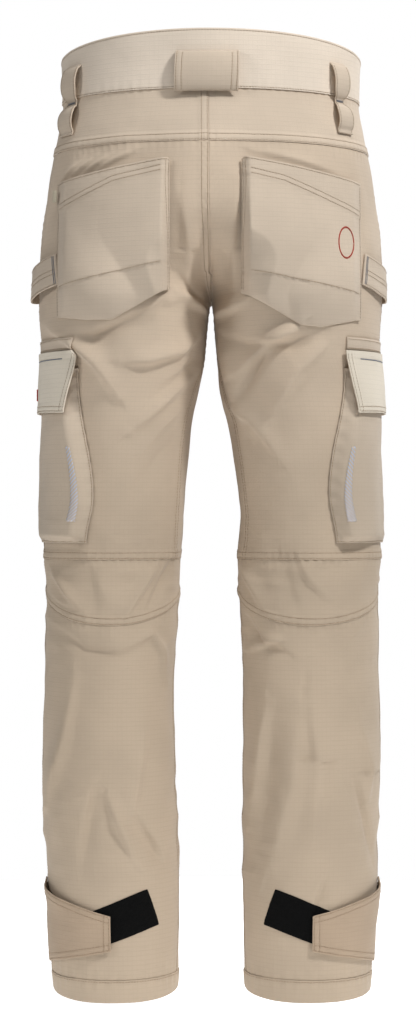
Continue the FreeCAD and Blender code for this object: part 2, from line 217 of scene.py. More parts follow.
def along(stations, height):
    """Section values at a height, by a cubic with averaged slopes."""
    hs = stations[:, 0]
    h = np.clip(height, hs[0], hs[-1])
    i = np.clip(np.searchsorted(hs, h, side="right") - 1, 0, len(hs) - 2)
    a, b = np.maximum(i - 1, 0), np.minimum(i + 2, len(hs) - 1)
    width = hs[i + 1] - hs[i]
    t = (h - hs[i]) / width
    found = []
    for v in stations.T[1:]:
        slope_a = (v[i + 1] - v[a]) / (hs[i + 1] - hs[a]) * width
        slope_b = (v[b] - v[i]) / (hs[b] - hs[i]) * width
        found.append((2 * t**3 - 3 * t**2 + 1) * v[i] + (t**3 - 2 * t**2 + t) * slope_a
                     + (3 * t**2 - 2 * t**3) * v[i + 1] + (t**3 - t**2) * slope_b)
    return found


def points(x, y, height):
    return np.stack(np.broadcast_arrays(x, y, height - WAIST_H), -1).astype(float)


def hip_point(turn, height):
    """Waist and seat: turn 0 is the centre back, 1 the centre front."""
    half, deep, mid = along(HIP_SECTIONS, height)
    return points(half * np.sin(np.pi * turn), mid - deep * np.cos(np.pi * turn), height)


def leg_point(u, height):
    """The right leg: u 0 is the inseam, 0.25 the back, 0.5 the side, 0.75 the front."""
    inner, half, deep, mid = along(LEG_SECTIONS, height)
    angle = 2 * np.pi * u
    return points(inner + half - half * np.cos(angle), mid - deep * np.sin(angle), height)


def skin(u, height):
    """The right half of the cloth, from the waist down into the leg."""
    u, height = np.broadcast_arrays(np.asarray(u, float), np.asarray(height, float))
    fork = np.clip((FORK_TOP - np.maximum(height, CROTCH)) / (FORK_TOP - CROTCH), 0, 1)
    at_seam = np.abs(np.cos(np.pi * u)) ** 4
    share = at_seam * fork**3 + (1 - at_seam) * (1 - smooth(height, 760, 900))
    share = np.where(height >= FORK_TOP, 0, share)[..., None]
    p = hip_point(u, height) * (1 - share) + leg_point(u, height) * share
    p[..., 0] = np.where(height >= FORK_TOP, p[..., 0], np.maximum(p[..., 0], 0.3))
    return p


def unit(v):
    return v / np.maximum(np.linalg.norm(v, axis=-1, keepdims=True), 1e-9)


def normal_of(surface, u, height):
    du, dh = 0.002, 0.5
    across = surface(np.clip(u + du, 0, 1), height) - surface(np.clip(u - du, 0, 1), height)
    up = surface(u, height + dh) - surface(u, height - dh)
    return unit(np.cross(across, up))


# ---- folds ----
random = np.random.default_rng(11)
SHUFFLE = random.permutation(256)
SLOPES = unit(random.normal(size=(256, 3)))


def noise(p, scale, seed=0):
    """Smooth noise of about -0.7 to 0.7 over points p, with one wave about as long as scale."""
    q = p / np.asarray(scale, float) + seed * 7.31
    base = np.floor(q).astype(int)
    f = q - base
    w = f * f * f * (f * (f * 6 - 15) + 10)
    total = np.zeros(p.shape[:-1])
    for corner in np.ndindex(2, 2, 2):
        c = base + corner
        index = SHUFFLE[(SHUFFLE[(SHUFFLE[c[..., 0] & 255] + c[..., 1]) & 255] + c[..., 2]) & 255]
        share = np.prod(np.where(corner, w, 1 - w), axis=-1)
        total += share * np.sum(SLOPES[index] * (f - corner), axis=-1)
    return total


def fold(x, h, line, height, width):
    """One fold along a line of (x, h) points: raised, or sunk if its height is negative."""
    best = np.full(x.shape, 1e9)
    place, below = np.zeros(x.shape), np.zeros(x.shape)
    count = len(line) - 1
    for k, ((x0, h0), (x1, h1)) in enumerate(zip(line[:-1], line[1:])):
        dx, dh = x1 - x0, h1 - h0
        inside = np.clip(((x - x0) * dx + (h - h0) * dh) / (dx * dx + dh * dh), 0, 1)
        distance = np.hypot(x - x0 - inside * dx, h - h0 - inside * dh)
        nearer = distance < best
        place = np.where(nearer, (k + inside) / count, place)
        across = (dx * (h - h0) - dh * (x - x0)) * (1 if dx >= 0 else -1)
        below = np.where(nearer, across * np.sign(height) < 0, below)
        best = np.minimum(best, distance)
    fade = np.sin(np.pi * np.clip(place, 0.06, 0.94)) ** 0.7
    return height * fade * np.exp(-((best / (width * np.where(below, 0.6, 1.5))) ** 1.7))


FOLD_GAIN, FOLD_SPREAD = 2.3, 0.85
# x and height of each fold's line seen from behind, how far it stands out, and its width
FOLDS = [
    ([(-150, 737), (-128, 734), (-106, 743), (-50, 768)], -4.5, 11),
    ([(-187, 756), (-154, 731), (-127, 708), (-101, 669)], 5, 9),
    ([(-13, 702), (-41, 676), (-68, 650), (-88, 632)], 3.4, 10),
    ([(-7, 726), (-29, 697), (-67, 666)], -2.6, 10),
    ([(-12, 743), (-34, 721), (-67, 710), (-99, 708)], 4, 9),
    ([(-23, 667), (-51, 640), (-78, 607)], 1.5, 9),
    ([(-28, 634), (-56, 607), (-84, 568)], -1.2, 11),
    ([(98, 748), (85, 739), (64, 730), (32, 699)], 5, 8),
    ([(59, 726), (46, 700), (32, 667)], -3.5, 6),
    ([(8, 743), (37, 727), (86, 727), (125, 741)], -3.0, 9),
    ([(4, 759), (12, 726), (26, 683), (42, 634)], 3.5, 9),
    ([(21, 667), (48, 645), (76, 601)], 2.6, 8),
    ([(131, 733), (98, 700), (65, 645)], 3.2, 10),
    ([(-167, 911), (-156, 921), (-143, 931)], 1.5, 4),
    ([(-156, 913), (-142, 924), (-127, 934)], 1.5, 4),
    ([(-143, 916), (-127, 925), (-108, 935)], 1.4, 4),
    ([(-126, 919), (-107, 928), (-82, 938)], 1.3, 4),
    ([(-30, 760), (-25, 830), (-30, 890)], 1.6, 9),
    ([(28, 780), (24, 830), (30, 905)], 1.6, 8),
    ([(42, 938), (97, 927), (146, 914)], 1.2, 5),
    ([(-7, 882), (-6, 828), (0, 774)], -2.0, 8),
    ([(-38, 785), (-18, 775), (1, 766)], 3, 7),
    ([(37, 775), (21, 768), (3, 764)], 3, 7),
    ([(-38, 807), (-21, 788), (-1, 775)], -2, 6),
    ([(-180, 477), (-167, 460), (-153, 442)], 3, 5),
    ([(-60, 486), (-76, 457), (-94, 429)], 3.2, 6),
    ([(-43, 491), (-56, 463), (-68, 436)], -2.5, 5),
    ([(-78, 400), (-65, 409), (-51, 386), (-46, 354)], 2.8, 5),
    ([(-167, 413), (-140, 391), (-101, 386), (-68, 397)], -1.8, 7),
    ([(-140, 491), (-132, 458), (-128, 424)], -1.0, 12),
    ([(33, 491), (46, 466), (57, 440)], 3.2, 6),
    ([(80, 491), (88, 458), (96, 430)], -1.4, 12),
    ([(82, 402), (70, 401), (42, 389)], 3, 5),
    ([(132, 447), (109, 469), (98, 491)], 1.8, 7),
    ([(43, 425), (56, 402), (87, 386)], -2.0, 5),
    ([(-150, 366), (-161, 292), (-173, 250), (-184, 214)], 3.6, 10),
    ([(-113, 231), (-103, 200), (-83, 152)], 3.6, 7),
    ([(-81, 203), (-62, 171), (-52, 150)], -3.4, 8),
    ([(-123, 247), (-134, 202), (-145, 147)], -2.4, 10),
    ([(-68, 313), (-79, 247), (-88, 191)], 2.2, 10),
    ([(66, 150), (90, 235), (98, 330)], 4.6, 20),
    ([(52, 150), (66, 240), (70, 320)], -2.4, 14),
    ([(63, 336), (56, 269), (45, 192)], 2.6, 9),
    ([(164, 312), (175, 253), (173, 223)], 3, 8),
    ([(157, 251), (172, 206), (182, 152)], -3, 5),
    ([(110, 347), (118, 269), (114, 181)], 3, 12),
    ([(132, 147), (121, 114), (110, 86)], -2, 8),
]


def relief(p, n, height):
    """How far the cloth stands off its smooth shape at points p with outward normals n."""
    x, behind = p[..., 0], smooth(-n[..., 1], -0.05, 0.45)
    total = np.zeros(x.shape)
    near = behind > 0
    if near.any():
        xs, hs = x[near], height[near]
        found = np.zeros(xs.shape)
        for line, tall, width in FOLDS:
            found += fold(xs, hs, line, tall * FOLD_GAIN, width * FOLD_SPREAD)
        total[near] = found * behind[near]
    legs = 1 - smooth(height, 930, 985)
    total += legs * (2.6 * noise(p, (70, 70, 110)) + 1.3 * noise(p, (32, 32, 40), 1))
    knee = np.exp(-(((height - 455) / 75) ** 2))
    crease = 1 - np.abs(noise(p, (60, 60, 26), 2)) * 3
    total += knee * 1.8 * crease
    ankle = np.exp(-(((height - 190) / 90) ** 2))
    total += ankle * 1.5 * (1 - np.abs(noise(p, (55, 55, 34), 3)) * 3)
    total += 0.28 * noise(p, (11, 11, 13), 4)
    return total


# per side, how far the inner and the outer edge of the outline move out along x: (height, inner, outer)
EDGES = {
    1: [(0, 0, 0), (480, 0, 0), (505, 0, -1), (530, 3, -2), (548, 4, -2), (575, 2.5, -2), (615, 1, -2),
        (640, 0, -1), (661, -2, 0), (683, -2, 0), (706, 0, 0), (750, 1, 0), (765, 1.5, 0),
        (779, 0, 0), (1100, 0, 0)],
    -1: [(0, 0, -3), (22, 0, -2), (90, -1, -1), (136, 0, -3), (182, 1, 0), (227, 4, 0), (273, 3.5, -1),
         (318, 5.5, -1), (364, 6, -2), (410, 4, -2), (455, 4, -4), (501, 2, -3.5), (546, 2, -3),
         (615, 2, -1), (661, 3, -1),
         (706, 0.5, 0), (750, 2, 0), (765, 2, 0), (779, 0, 0), (1100, 0, 0)],
}


def cloth(side, u, height, lift=0.0, base=skin):
    """Points of one side's cloth. u under 0 or over 1 runs on over the centre line, or round the leg."""
    u, height = np.broadcast_arrays(np.asarray(u, float), np.asarray(height, float))
    in_leg = height < CROTCH
    u = np.where(in_leg, np.mod(u, 1.0), u)
    past = (u < 0) | (u > 1)
    w = np.where(u > 1, 2 - u, np.abs(u))
    sign = np.where(past, -side, side)
    p, n = base(w, height), normal_of(base, w, height)
    p[..., 0] *= sign
    n[..., 0] *= sign
    stand = relief(p, n, height) + lift
    out = (1 - np.cos(2 * np.pi * w)) / 2
    edge = np.zeros(height.shape)
    for s in (1, -1):
        stations = np.array(EDGES[s], float)
        inner = np.interp(height, stations[:, 0], stations[:, 1])
        outer = np.interp(height, stations[:, 0], stations[:, 2])
        edge = np.where(sign == s, mix(inner, outer, out) * s, edge)
    q = p + n * stand[..., None]
    q[..., 0] += edge
    return q


# ---- pieces of cloth ----
LAP = (1.6, 8.0)  # how far the two rows of a topstitched seam are from its edge
GROOVE_DEEP, GROOVE_WIDE = 0.45, 0.8  # the dent that a row of stitches pulls into the cloth


def spaced(length, step, start=True, end=True):
    """Stations from 0 to 1 about step apart over a length, closer next to a stitched edge."""
    near = [0.7, 1.6, 2.5, 4.0, 6.0, 7.1, 8.0, 8.9, 10.5, 13.0]
    low = [0.0] + (near if start else [])
    high = [length] + ([length - d for d in near] if end else [])
    inside = np.linspace(max(low), min(high), max(2, int((min(high) - max(low)) / step)) + 1)
    return np.unique(np.round(np.concatenate([low, inside, high]), 3)) / length


def lap(d, raised=1.0, rows=LAP):
    """A lapped seam's profile at d mm from its edge: raised, with a groove under each row of stitches."""
    last = rows[-1]
    total = raised * (1 - smooth(d, last + 1.0, last + 3.0)) * smooth(d, -0.5, 0.6)
    for row in rows:
        total = total - GROOVE_DEEP * np.exp(-(((d - row) / GROOVE_WIDE) ** 2))
    return total


class Piece:
    """A sheet of cloth with thickness, from f(s, t) with s and t from 0 to 1."""

    def __init__(self, name, f, s, t, thick=1.4, side=1, bump=None):
        self.name, self.side = name, side
        self.s, self.t, self.thick = np.asarray(s), np.asarray(t), thick
        self.p = f(*np.meshgrid(self.s, self.t, indexing="ij"))
        self.measure()
        self.normals()
        if bump is not None:
            self.p = self.p + self.n * bump(self)[..., None]
            self.normals()

    def measure(self):
        """Distances over the cloth from each edge: left and right in s, low and high in t."""
        ds = np.linalg.norm(np.diff(self.p, axis=0), axis=-1)
        dt = np.linalg.norm(np.diff(self.p, axis=1), axis=-1)
        self.left = np.concatenate([np.zeros((1, ds.shape[1])), np.cumsum(ds, 0)])
        self.low = np.concatenate([np.zeros((dt.shape[0], 1)), np.cumsum(dt, 1)], 1)
        self.right, self.high = self.left[-1:] - self.left, self.low[:, -1:] - self.low
        self.wide, self.long = self.left[-1].max(), self.low[:, -1].max()
        a = self.p[1:, 1:] - self.p[:-1, :-1]
        b = self.p[:-1, 1:] - self.p[1:, :-1]
        self.area = float(np.linalg.norm(np.cross(a, b), axis=-1).sum() / 2)

    def normals(self):
        a = np.gradient(self.p, axis=0)
        b = np.gradient(self.p, axis=1)
        self.n = unit(np.cross(a, b)) * self.side

    def at(self, s, t):
        """Points and normals on the finished outer face."""
        i = np.interp(s, self.s, np.arange(len(self.s)))
        j = np.interp(t, self.t, np.arange(len(self.t)))
        i0 = np.clip(i.astype(int), 0, len(self.s) - 2)
        j0 = np.clip(j.astype(int), 0, len(self.t) - 2)
        fi, fj = (i - i0)[:, None], (j - j0)[:, None]

        def pick(g):
            low = g[i0, j0] * (1 - fi) + g[i0 + 1, j0] * fi
            high = g[i0, j0 + 1] * (1 - fi) + g[i0 + 1, j0 + 1] * fi
            return low * (1 - fj) + high * fj

        return pick(self.p), unit(pick(self.n))

    def beside(self, edge, d, start=0.0, end=1.0):
        """A path d mm in from an edge, between two shares of the edge's length."""
        if edge in ("low", "high"):
            s = np.linspace(start, end, 160)
            i = np.interp(s, self.s, np.arange(len(self.s))).round().astype(int)
            grid = getattr(self, edge)
            t = [np.interp(d, grid[k] if edge == "low" else grid[k][::-1],
                           self.t if edge == "low" else self.t[::-1]) for k in i]
            return self.at(s, np.array(t))
        t = np.linspace(start, end, 220)
        j = np.interp(t, self.t, np.arange(len(self.t))).round().astype(int)
        grid = getattr(self, edge)
        s = [np.interp(d, grid[:, k] if edge == "left" else grid[::-1, k],
                       self.s if edge == "left" else self.s[::-1]) for k in j]
        return self.at(np.array(s), t)

    def mesh(self, material, lining=None):
        """The finished object."""
        nu, nv = self.p.shape[:2]
        inner = self.p - self.n * self.thick
        verts = np.concatenate([self.p.reshape(-1, 3), inner.reshape(-1, 3)]) / 1000
        index = np.arange(nu * nv).reshape(nu, nv)
        quads = np.stack([index[:-1, :-1], index[1:, :-1], index[1:, 1:], index[:-1, 1:]], -1).reshape(-1, 4)
        shift = nu * nv
        edges = [index[:, 0], index[-1, :], index[::-1, -1], index[0, ::-1]]
        rim = []
        for e in edges:
            rim.append(np.stack([e[1:], e[:-1], e[:-1] + shift, e[1:] + shift], -1))
        rim = np.concatenate(rim)
        faces = np.concatenate([quads, quads[:, ::-1] + shift, rim])
        if self.side < 0:
            faces = faces[:, ::-1]
        middle = self.left[len(self.s) // 2]
        uv = np.stack([self.left - middle[None], self.p[..., 2] + WAIST_H], -1).reshape(-1, 2) / 1000
        o = make_object(self.name, verts, faces, np.concatenate([uv, uv]), material)
        smooth_faces = np.ones(len(faces), bool)
        smooth_faces[2 * len(quads):] = False
        o.data.polygons.foreach_set("use_smooth", smooth_faces)
        if lining is not None:
            o.data.materials.append(lining)
            which = np.zeros(len(faces), np.int32)
            which[len(quads):2 * len(quads)] = 1
            o.data.polygons.foreach_set("material_index", which)
        return o


def make_object(name, verts, faces, uv=None, material=None, smooth_all=False):
    mesh = bpy.data.meshes.new(name)
    mesh.vertices.add(len(verts))
    mesh.vertices.foreach_set("co", np.asarray(verts, np.float32).ravel())
    size = faces.shape[1]
    mesh.loops.add(faces.size)
    mesh.loops.foreach_set("vertex_index", faces.astype(np.int32).ravel())
    mesh.polygons.add(len(faces))
    mesh.polygons.foreach_set("loop_start", np.arange(0, faces.size, size, dtype=np.int32))
    mesh.update(calc_edges=True)
    if uv is not None:
        layer = mesh.uv_layers.new(name="weave")
        layer.data.foreach_set("uv", np.asarray(uv, np.float32)[faces.ravel()].ravel())
    if smooth_all:
        mesh.polygons.foreach_set("use_smooth", np.ones(len(faces), bool))
    if material is not None:
        mesh.materials.append(material)
    mesh.validate()
    o = bpy.data.objects.new(name, mesh)
    bpy.context.scene.collection.objects.link(o)
    return o


# ---- materials ----
class Nodes:
    """A short way to write node trees."""

    def __init__(self, tree):
        self.tree = tree

    def new(self, kind, **values):
        node = self.tree.nodes.new(kind)
        for key, value in values.items():
            setattr(node, key, value)
        return node

    def put(self, socket, value):
        if isinstance(value, bpy.types.NodeSocket):
            self.tree.links.new(value, socket)
        else:
            socket.default_value = value

    def math(self, operation, *values):
        node = self.new("ShaderNodeMath", operation=operation)
        for socket, value in zip(node.inputs, values):
            self.put(socket, value)
        return node.outputs[0]

    def ramp(self, value, low, high):
        """0 below low, 1 above high."""
        node = self.new("ShaderNodeMapRange", interpolation_type="SMOOTHSTEP")
        for socket, v in zip(node.inputs, (value, low, high, 0.0, 1.0)):
            self.put(socket, v)
        return node.outputs[0]

    def tint(self, share, a, b):
        node = self.new("ShaderNodeMix", data_type="RGBA")
        self.put(node.inputs[0], share)
        self.put(node.inputs[6], a)
        self.put(node.inputs[7], b)
        return node.outputs[2]


def linear(r, g, b):
    """A colour given as sRGB from 0 to 255."""
    found = [c / 255 for c in (r, g, b)]
    return tuple(c / 12.92 if c <= 0.04045 else ((c + 0.055) / 1.055) ** 2.4 for c in found) + (1.0,)


def shaded(colour, factor):
    return tuple(min(1.0, c * factor) for c in colour[:3]) + (1.0,)


def new_material(name):
    material = bpy.data.materials.new(name)
    material.use_nodes = True
    tree = material.node_tree
    return material, Nodes(tree), tree.nodes["Principled BSDF"]


GRID_PITCH, YARN_PITCH = 0.0052, 0.0009  # metres
PAINTED_SHADE_HEIGHTS = (0.48, 0.74)  # metres above the hem, where the cloth turns from the painted shade of light falling from above to its full colour
# the colour that the painted shade multiplies the cloth by, low on the legs
PAINTED_SHADE_LOW = (0.80, 0.79, 0.77, 1)


def ripstop(name, colour, strength=1.0, sheen=0.12):
    """Plain weave with a heavier yarn every 5 mm both ways, slight fading, slubs, and painted shade that darkens the
    cloth towards the hem for light falling from above.
    """
    material, k, shader = new_material(name)
    uv = k.new("ShaderNodeUVMap", uv_map="weave").outputs[0]
    split = k.new("ShaderNodeSeparateXYZ")
    k.put(split.inputs[0], uv)
    across, up = split.outputs[0], split.outputs[1]
    place = k.new("ShaderNodeTexCoord").outputs["Object"]

    def clouds(scale, detail=2.0, vector=place):
        node = k.new("ShaderNodeTexNoise")
        k.put(node.inputs["Vector"], vector)
        node.inputs["Scale"].default_value = scale
        node.inputs["Detail"].default_value = detail
        return node.outputs[0]

    def yarn(value, pitch, width):
        """1 on a line every pitch metres."""
        wave = k.math("PINGPONG", k.math("ADD", value, 10.0), pitch / 2)
        return k.math("SUBTRACT", 1.0, k.ramp(wave, 0.0, width))

    upright = k.math("MULTIPLY", yarn(across, GRID_PITCH, 0.0006), 0.6)
    grid = k.math("MAXIMUM", upright, yarn(up, GRID_PITCH, 0.0007))
    weave = k.math("MULTIPLY", k.math("SINE", k.math("MULTIPLY", across, 2 * math.pi / YARN_PITCH)),
                   k.math("SINE", k.math("MULTIPLY", up, 2 * math.pi / YARN_PITCH)))
    stretch = k.new("ShaderNodeVectorMath", operation="MULTIPLY")
    k.put(stretch.inputs[0], uv)
    stretch.inputs[1].default_value = (60.0, 900.0, 1.0)
    slub = clouds(1.0, 1.0, stretch.outputs[0])
    faded = clouds(9.0, 3.0)
    colour_a = k.tint(k.ramp(faded, 0.3, 0.7), shaded(colour, 0.94), shaded(colour, 1.06))
    colour_b = k.tint(k.math("MULTIPLY", grid, 0.24 * strength), colour_a, shaded(colour, 0.80))
    shade = k.math("MULTIPLY", k.ramp(slub, 0.55, 0.8), 0.35)
    colour_c = k.tint(shade, colour_b, shaded(colour, 0.86))
    # painted shade: the cloth is multiplied darker towards the hem, for light falling from above
    wear_and_shade = k.new("ShaderNodeMix", data_type="RGBA", blend_type="MULTIPLY")
    k.put(wear_and_shade.inputs[0], 1.0)
    k.put(wear_and_shade.inputs[6], colour_c)
    k.put(wear_and_shade.inputs[7], k.tint(k.ramp(up, *PAINTED_SHADE_HEIGHTS), PAINTED_SHADE_LOW, (1, 1, 1, 1)))
    k.put(shader.inputs["Base Color"], wear_and_shade.outputs[2])
    rough = k.math("ADD", 0.78, k.math("MULTIPLY", faded, 0.14))
    k.put(shader.inputs["Roughness"], rough)
    shader.inputs["Specular IOR Level"].default_value = 0.25
    shader.inputs["Sheen Weight"].default_value = sheen
    shader.inputs["Sheen Roughness"].default_value = 0.5
    height = k.math("ADD", k.math("MULTIPLY", grid, 1.0), k.math("MULTIPLY", weave, 0.35))
    height = k.math("ADD", height, k.math("MULTIPLY", slub, 0.6))
    bump = k.new("ShaderNodeBump")
    bump.inputs["Strength"].default_value = 0.5 * strength
    bump.inputs["Distance"].default_value = 0.00014
    k.put(bump.inputs["Height"], height)
    k.put(shader.inputs["Normal"], bump.outputs[0])
    return material


def fuzz(name, colour, scale, depth, rough=0.95, sheen=0.3, spread=0.5):
    """Loop or hook tape, and webbing: a fine random pile."""
    material, k, shader = new_material(name)
    place = k.new("ShaderNodeTexCoord").outputs["Object"]
    fine = k.new("ShaderNodeTexNoise")
    k.put(fine.inputs["Vector"], place)
    fine.inputs["Scale"].default_value = scale
    fine.inputs["Detail"].default_value = 4.0
    cells = k.new("ShaderNodeTexVoronoi")
    k.put(cells.inputs["Vector"], place)
    cells.inputs["Scale"].default_value = scale * 1.4
    mixed = k.math("MULTIPLY", fine.outputs[0], k.math("SUBTRACT", 1.2, cells.outputs[0]))
    k.put(shader.inputs["Base Color"],
          k.tint(k.ramp(mixed, 0.2, 0.8), shaded(colour, 1 - spread), shaded(colour, 1 + spread)))
    shader.inputs["Roughness"].default_value = rough
    shader.inputs["Specular IOR Level"].default_value = 0.15
    shader.inputs["Sheen Weight"].default_value = sheen
    bump = k.new("ShaderNodeBump")
    bump.inputs["Strength"].default_value = 0.9
    bump.inputs["Distance"].default_value = depth
    k.put(bump.inputs["Height"], mixed)
    k.put(shader.inputs["Normal"], bump.outputs[0])
    return material


def metal(name, colour, rough):
    material, k, shader = new_material(name)
    place = k.new("ShaderNodeTexCoord").outputs["Object"]
    wear_and_shade = k.new("ShaderNodeTexNoise")
    k.put(wear_and_shade.inputs["Vector"], place)
    wear_and_shade.inputs["Scale"].default_value = 400.0
    wear_and_shade.inputs["Detail"].default_value = 5.0
    k.put(shader.inputs["Base Color"],
          k.tint(k.ramp(wear_and_shade.outputs[0], 0.35, 0.7), shaded(colour, 0.75), colour))
    k.put(shader.inputs["Roughness"], k.math("ADD", rough, k.math("MULTIPLY", wear_and_shade.outputs[0], 0.2)))
    shader.inputs["Metallic"].default_value = 1.0
    return material


def hatched(name, back, stripe):
    """Reflective tape printed as slanting bars."""
    material, k, shader = new_material(name)
    uv = k.new("ShaderNodeUVMap", uv_map="weave").outputs[0]
    split = k.new("ShaderNodeSeparateXYZ")
    k.put(split.inputs[0], uv)
    slant = k.math("ADD", split.outputs[0], split.outputs[1])
    wave = k.math("PINGPONG", k.math("ADD", slant, 10.0), 0.0021)
    bars = k.ramp(wave, 0.0008, 0.0012)
    k.put(shader.inputs["Base Color"], k.tint(bars, back, stripe))
    k.put(shader.inputs["Metallic"], k.math("MULTIPLY", bars, 0.35))
    k.put(shader.inputs["Roughness"], k.math("SUBTRACT", 0.75, k.math("MULTIPLY", bars, 0.35)))
    return material


TAN = linear(202, 184, 163)
CLOTH = ripstop("ripstop", TAN)
CLOTH_POCKET = ripstop("ripstop_pocket", linear(203, 187, 168))
# The flap, yoke and band copies are lighter than the cloth. This is painted light for the light that falls on these
# pieces from above. They are also a little greyer, which is their own tone.
CLOTH_FLAP_LIT = ripstop("ripstop_flap", linear(225, 215, 198))
CLOTH_YOKE_LIT = ripstop("ripstop_yoke", linear(209, 192, 172))
CLOTH_BAND_LIT = ripstop("ripstop_band", linear(226, 212, 195))
CLOTH_TAB = ripstop("ripstop_tab", linear(190, 169, 147))
LINING = ripstop("lining", linear(206, 190, 172), 0.5)
THREAD = fuzz("thread", linear(168, 145, 120), 3000.0, 0.00005, 0.7, 0.1, 0.15)
BARTACK = fuzz("bartack_thread", linear(122, 128, 140), 3000.0, 0.00005, 0.6, 0.1, 0.2)
LOOP_TAPE = fuzz("loop_tape", linear(12, 12, 12), 1600.0, 0.0006, 1.0, 0.0, 0.6)
HOOK_TAPE = fuzz("hook_tape", linear(38, 37, 36), 900.0, 0.0004, 0.8, 0.05, 0.5)
RED = fuzz("red_thread", linear(196, 62, 44), 2500.0, 0.0001, 0.8, 0.1, 0.15)
TAG = fuzz("tag_cloth", linear(200, 190, 168), 2500.0, 0.0001, 0.8, 0.1, 0.1)
REFLECTIVE = hatched("reflective_tape", shaded(TAN, 0.95), linear(190, 194, 208))
ZIP_TAPE = fuzz("zip_tape", linear(170, 150, 128), 1800.0, 0.0001, 0.9, 0.1, 0.12)
ZIP_METAL = metal("zip_metal", (0.62, 0.56, 0.44, 1), 0.3)
SNAP_METAL = metal("snap_metal", (0.58, 0.57, 0.55, 1), 0.28)

# ---- where things ride ----
def raised_to(h):
    """A height above the hem as a world coordinate, in metres."""
    return (h - WAIST_H) / 1000


BENDS = {
    "hip": (lambda n: ("pelvis", "thigh_" + n), (0, 0, raised_to(790)), (0, 0, raised_to(725))),
    "knee": (lambda n: ("thigh_" + n, "shin_" + n), (0, 0, raised_to(495)), (0, 0, raised_to(405))),
    "flap": (lambda n: ("thigh_" + n, "cargo_flap_" + n), (0, 0, raised_to(722)), (0, 0, raised_to(703))),
    "ankle": (lambda n: ("shin_" + n, "ankle_tab_" + n), (0, -0.004, 0), (0, -0.022, 0)),
    "tab": (lambda n: ("pelvis", "waist_tab"), (-0.0363, 0, 0), (-0.024, 0, 0)),
}


def fix(o, where, name=None):
    """Rides on a body, or bends between two of them."""
    if where in BENDS:
        bodies, start, end = BENDS[where]
        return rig.blend(o, *bodies(name), start=start, end=end)
    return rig.ride(o, where)


THREADS = {}


def stitch(path, where, name=None, pitch=3.3, size=0.30, kind="stitches"):
    """Queues a row of stitches along a path of points and normals."""
    THREADS.setdefault((kind, where, name), []).append((path, pitch, size))


def edge_rows(piece, edges, distances, where, name=None, start=0.0, end=1.0):
    """Queues rows of stitches at each distance in from each edge."""
    for d in distances:
        for edge in edges:
            stitch(piece.beside(edge, d, start, end), where, name)


def stitch_meshes():
    """One object of stitches for each body or bend."""
    ring = np.array([(1, 0), (0, 1), (-1, 0), (0, -0.6)], float)
    shape = [(-0.5, 0.25), (-0.34, 1.0), (0.34, 1.0), (0.5, 0.25)]
    quads = []
    for a in range(3):
        for b in range(4):
            c = (b + 1) % 4
            quads.append((a * 4 + b, a * 4 + c, a * 4 + 4 + c, a * 4 + 4 + b))
    quads += [(3, 2, 1, 0), (12, 13, 14, 15)]
    quads = np.array(quads)
    for (kind, where, name), rows in THREADS.items():
        verts, faces, count = [], [], 0
        for (p, n), pitch, size in rows:
            step = np.linalg.norm(np.diff(p, axis=0), axis=1)
            run = np.concatenate([[0], np.cumsum(step)])
            keep = np.concatenate([[True], step > 1e-6])
            p, n, run = p[keep], n[keep], run[keep]
            total = run[-1]
            if total < pitch:
                continue
            mids = (np.arange(int(total // pitch)) + 0.5) * pitch
            at = lambda x, g: np.stack([np.interp(x, run, g[:, k]) for k in range(3)], -1)
            centre, up = at(mids, p), unit(at(mids, n))
            ahead = unit(at(mids + pitch * 0.4, p) - at(mids - pitch * 0.4, p))
            out = unit(np.cross(up, ahead))
            long = pitch * (0.84 if kind == "stitches" else 0.98)
            for share, wide in shape:
                for a, b in ring:
                    lift = 0.12 + size * (0.45 + b * 0.8 * wide)
                    verts.append(centre + ahead * (share * long) + out * (a * size * wide) + up * lift)
            block = np.stack(verts[-16:], 1).reshape(-1, 3)
            del verts[-16:]
            verts.append(block)
            faces.append((np.arange(len(mids))[:, None, None] * 16 + quads[None] + count).reshape(-1, 4))
            count += len(mids) * 16
        label = kind + "_" + where + ("_" + name if name else "")
        o = make_object(label, np.concatenate(verts) / 1000, np.concatenate(faces), None,
                        {"stitches": THREAD, "bartacks": BARTACK, "red_stitches": RED}[kind], True)
        fix(o, where, name)
        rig.slot(o, "ripstop_cloth")


def sheet(piece, o):
    wide, long = math.ceil(piece.wide) / 1000, math.ceil(piece.long) / 1000
    area = min(piece.area / 1e6, wide * long)
    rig.sheet(o, flat=(wide, long), held="hung", rests_on=[], area=round(area, 5))


def sew(piece, material, lining, nodes, where, name=None, slot="ripstop_cloth"):
    """Makes a piece's mesh, and says what it replaces, where it goes and how big its cloth is."""
    o = piece.mesh(material, lining)
    if nodes is not None:
        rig.replaces(o, *nodes)
    fix(o, where, name)
    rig.slot(o, slot)
    sheet(piece, o)


# ---- seams ----
def inseam(h):
    """How far the inner leg seam lies to the back of the leg's innermost line."""
    return 0.06 * (1 - smooth(h, 640, 760))


def u_at(x, height):
    """Where the back of the smooth cloth is x out from the centre."""
    low, high = np.zeros(np.shape(x)), np.full(np.shape(x), 0.5)
    for _ in range(22):
        middle = (low + high) / 2
        less = skin(middle, height)[..., 0] < x
        low, high = np.where(less, middle, low), np.where(less, high, middle)
    return (low + high) / 2


def centre_x(h):
    """The centre-back seam, which leans a little to the left towards the waist."""
    return table(h, (779, 0.4), (900, -2.5), (1075, -3.0))


def centre_u(side, h):
    line = h[:1] if h.ndim > 1 else h
    x = centre_x(line) * side
    u = np.where(line > CROTCH, np.sign(x) * u_at(np.abs(x), line), 0)
    return np.broadcast_to(u + inseam(line), h.shape)


def knee_upper(u):
    return KNEE_TOP + KNEE_RISE * np.where(u > 0.5, np.maximum(0, np.sin(2 * np.pi * (u - 0.5))), 0)


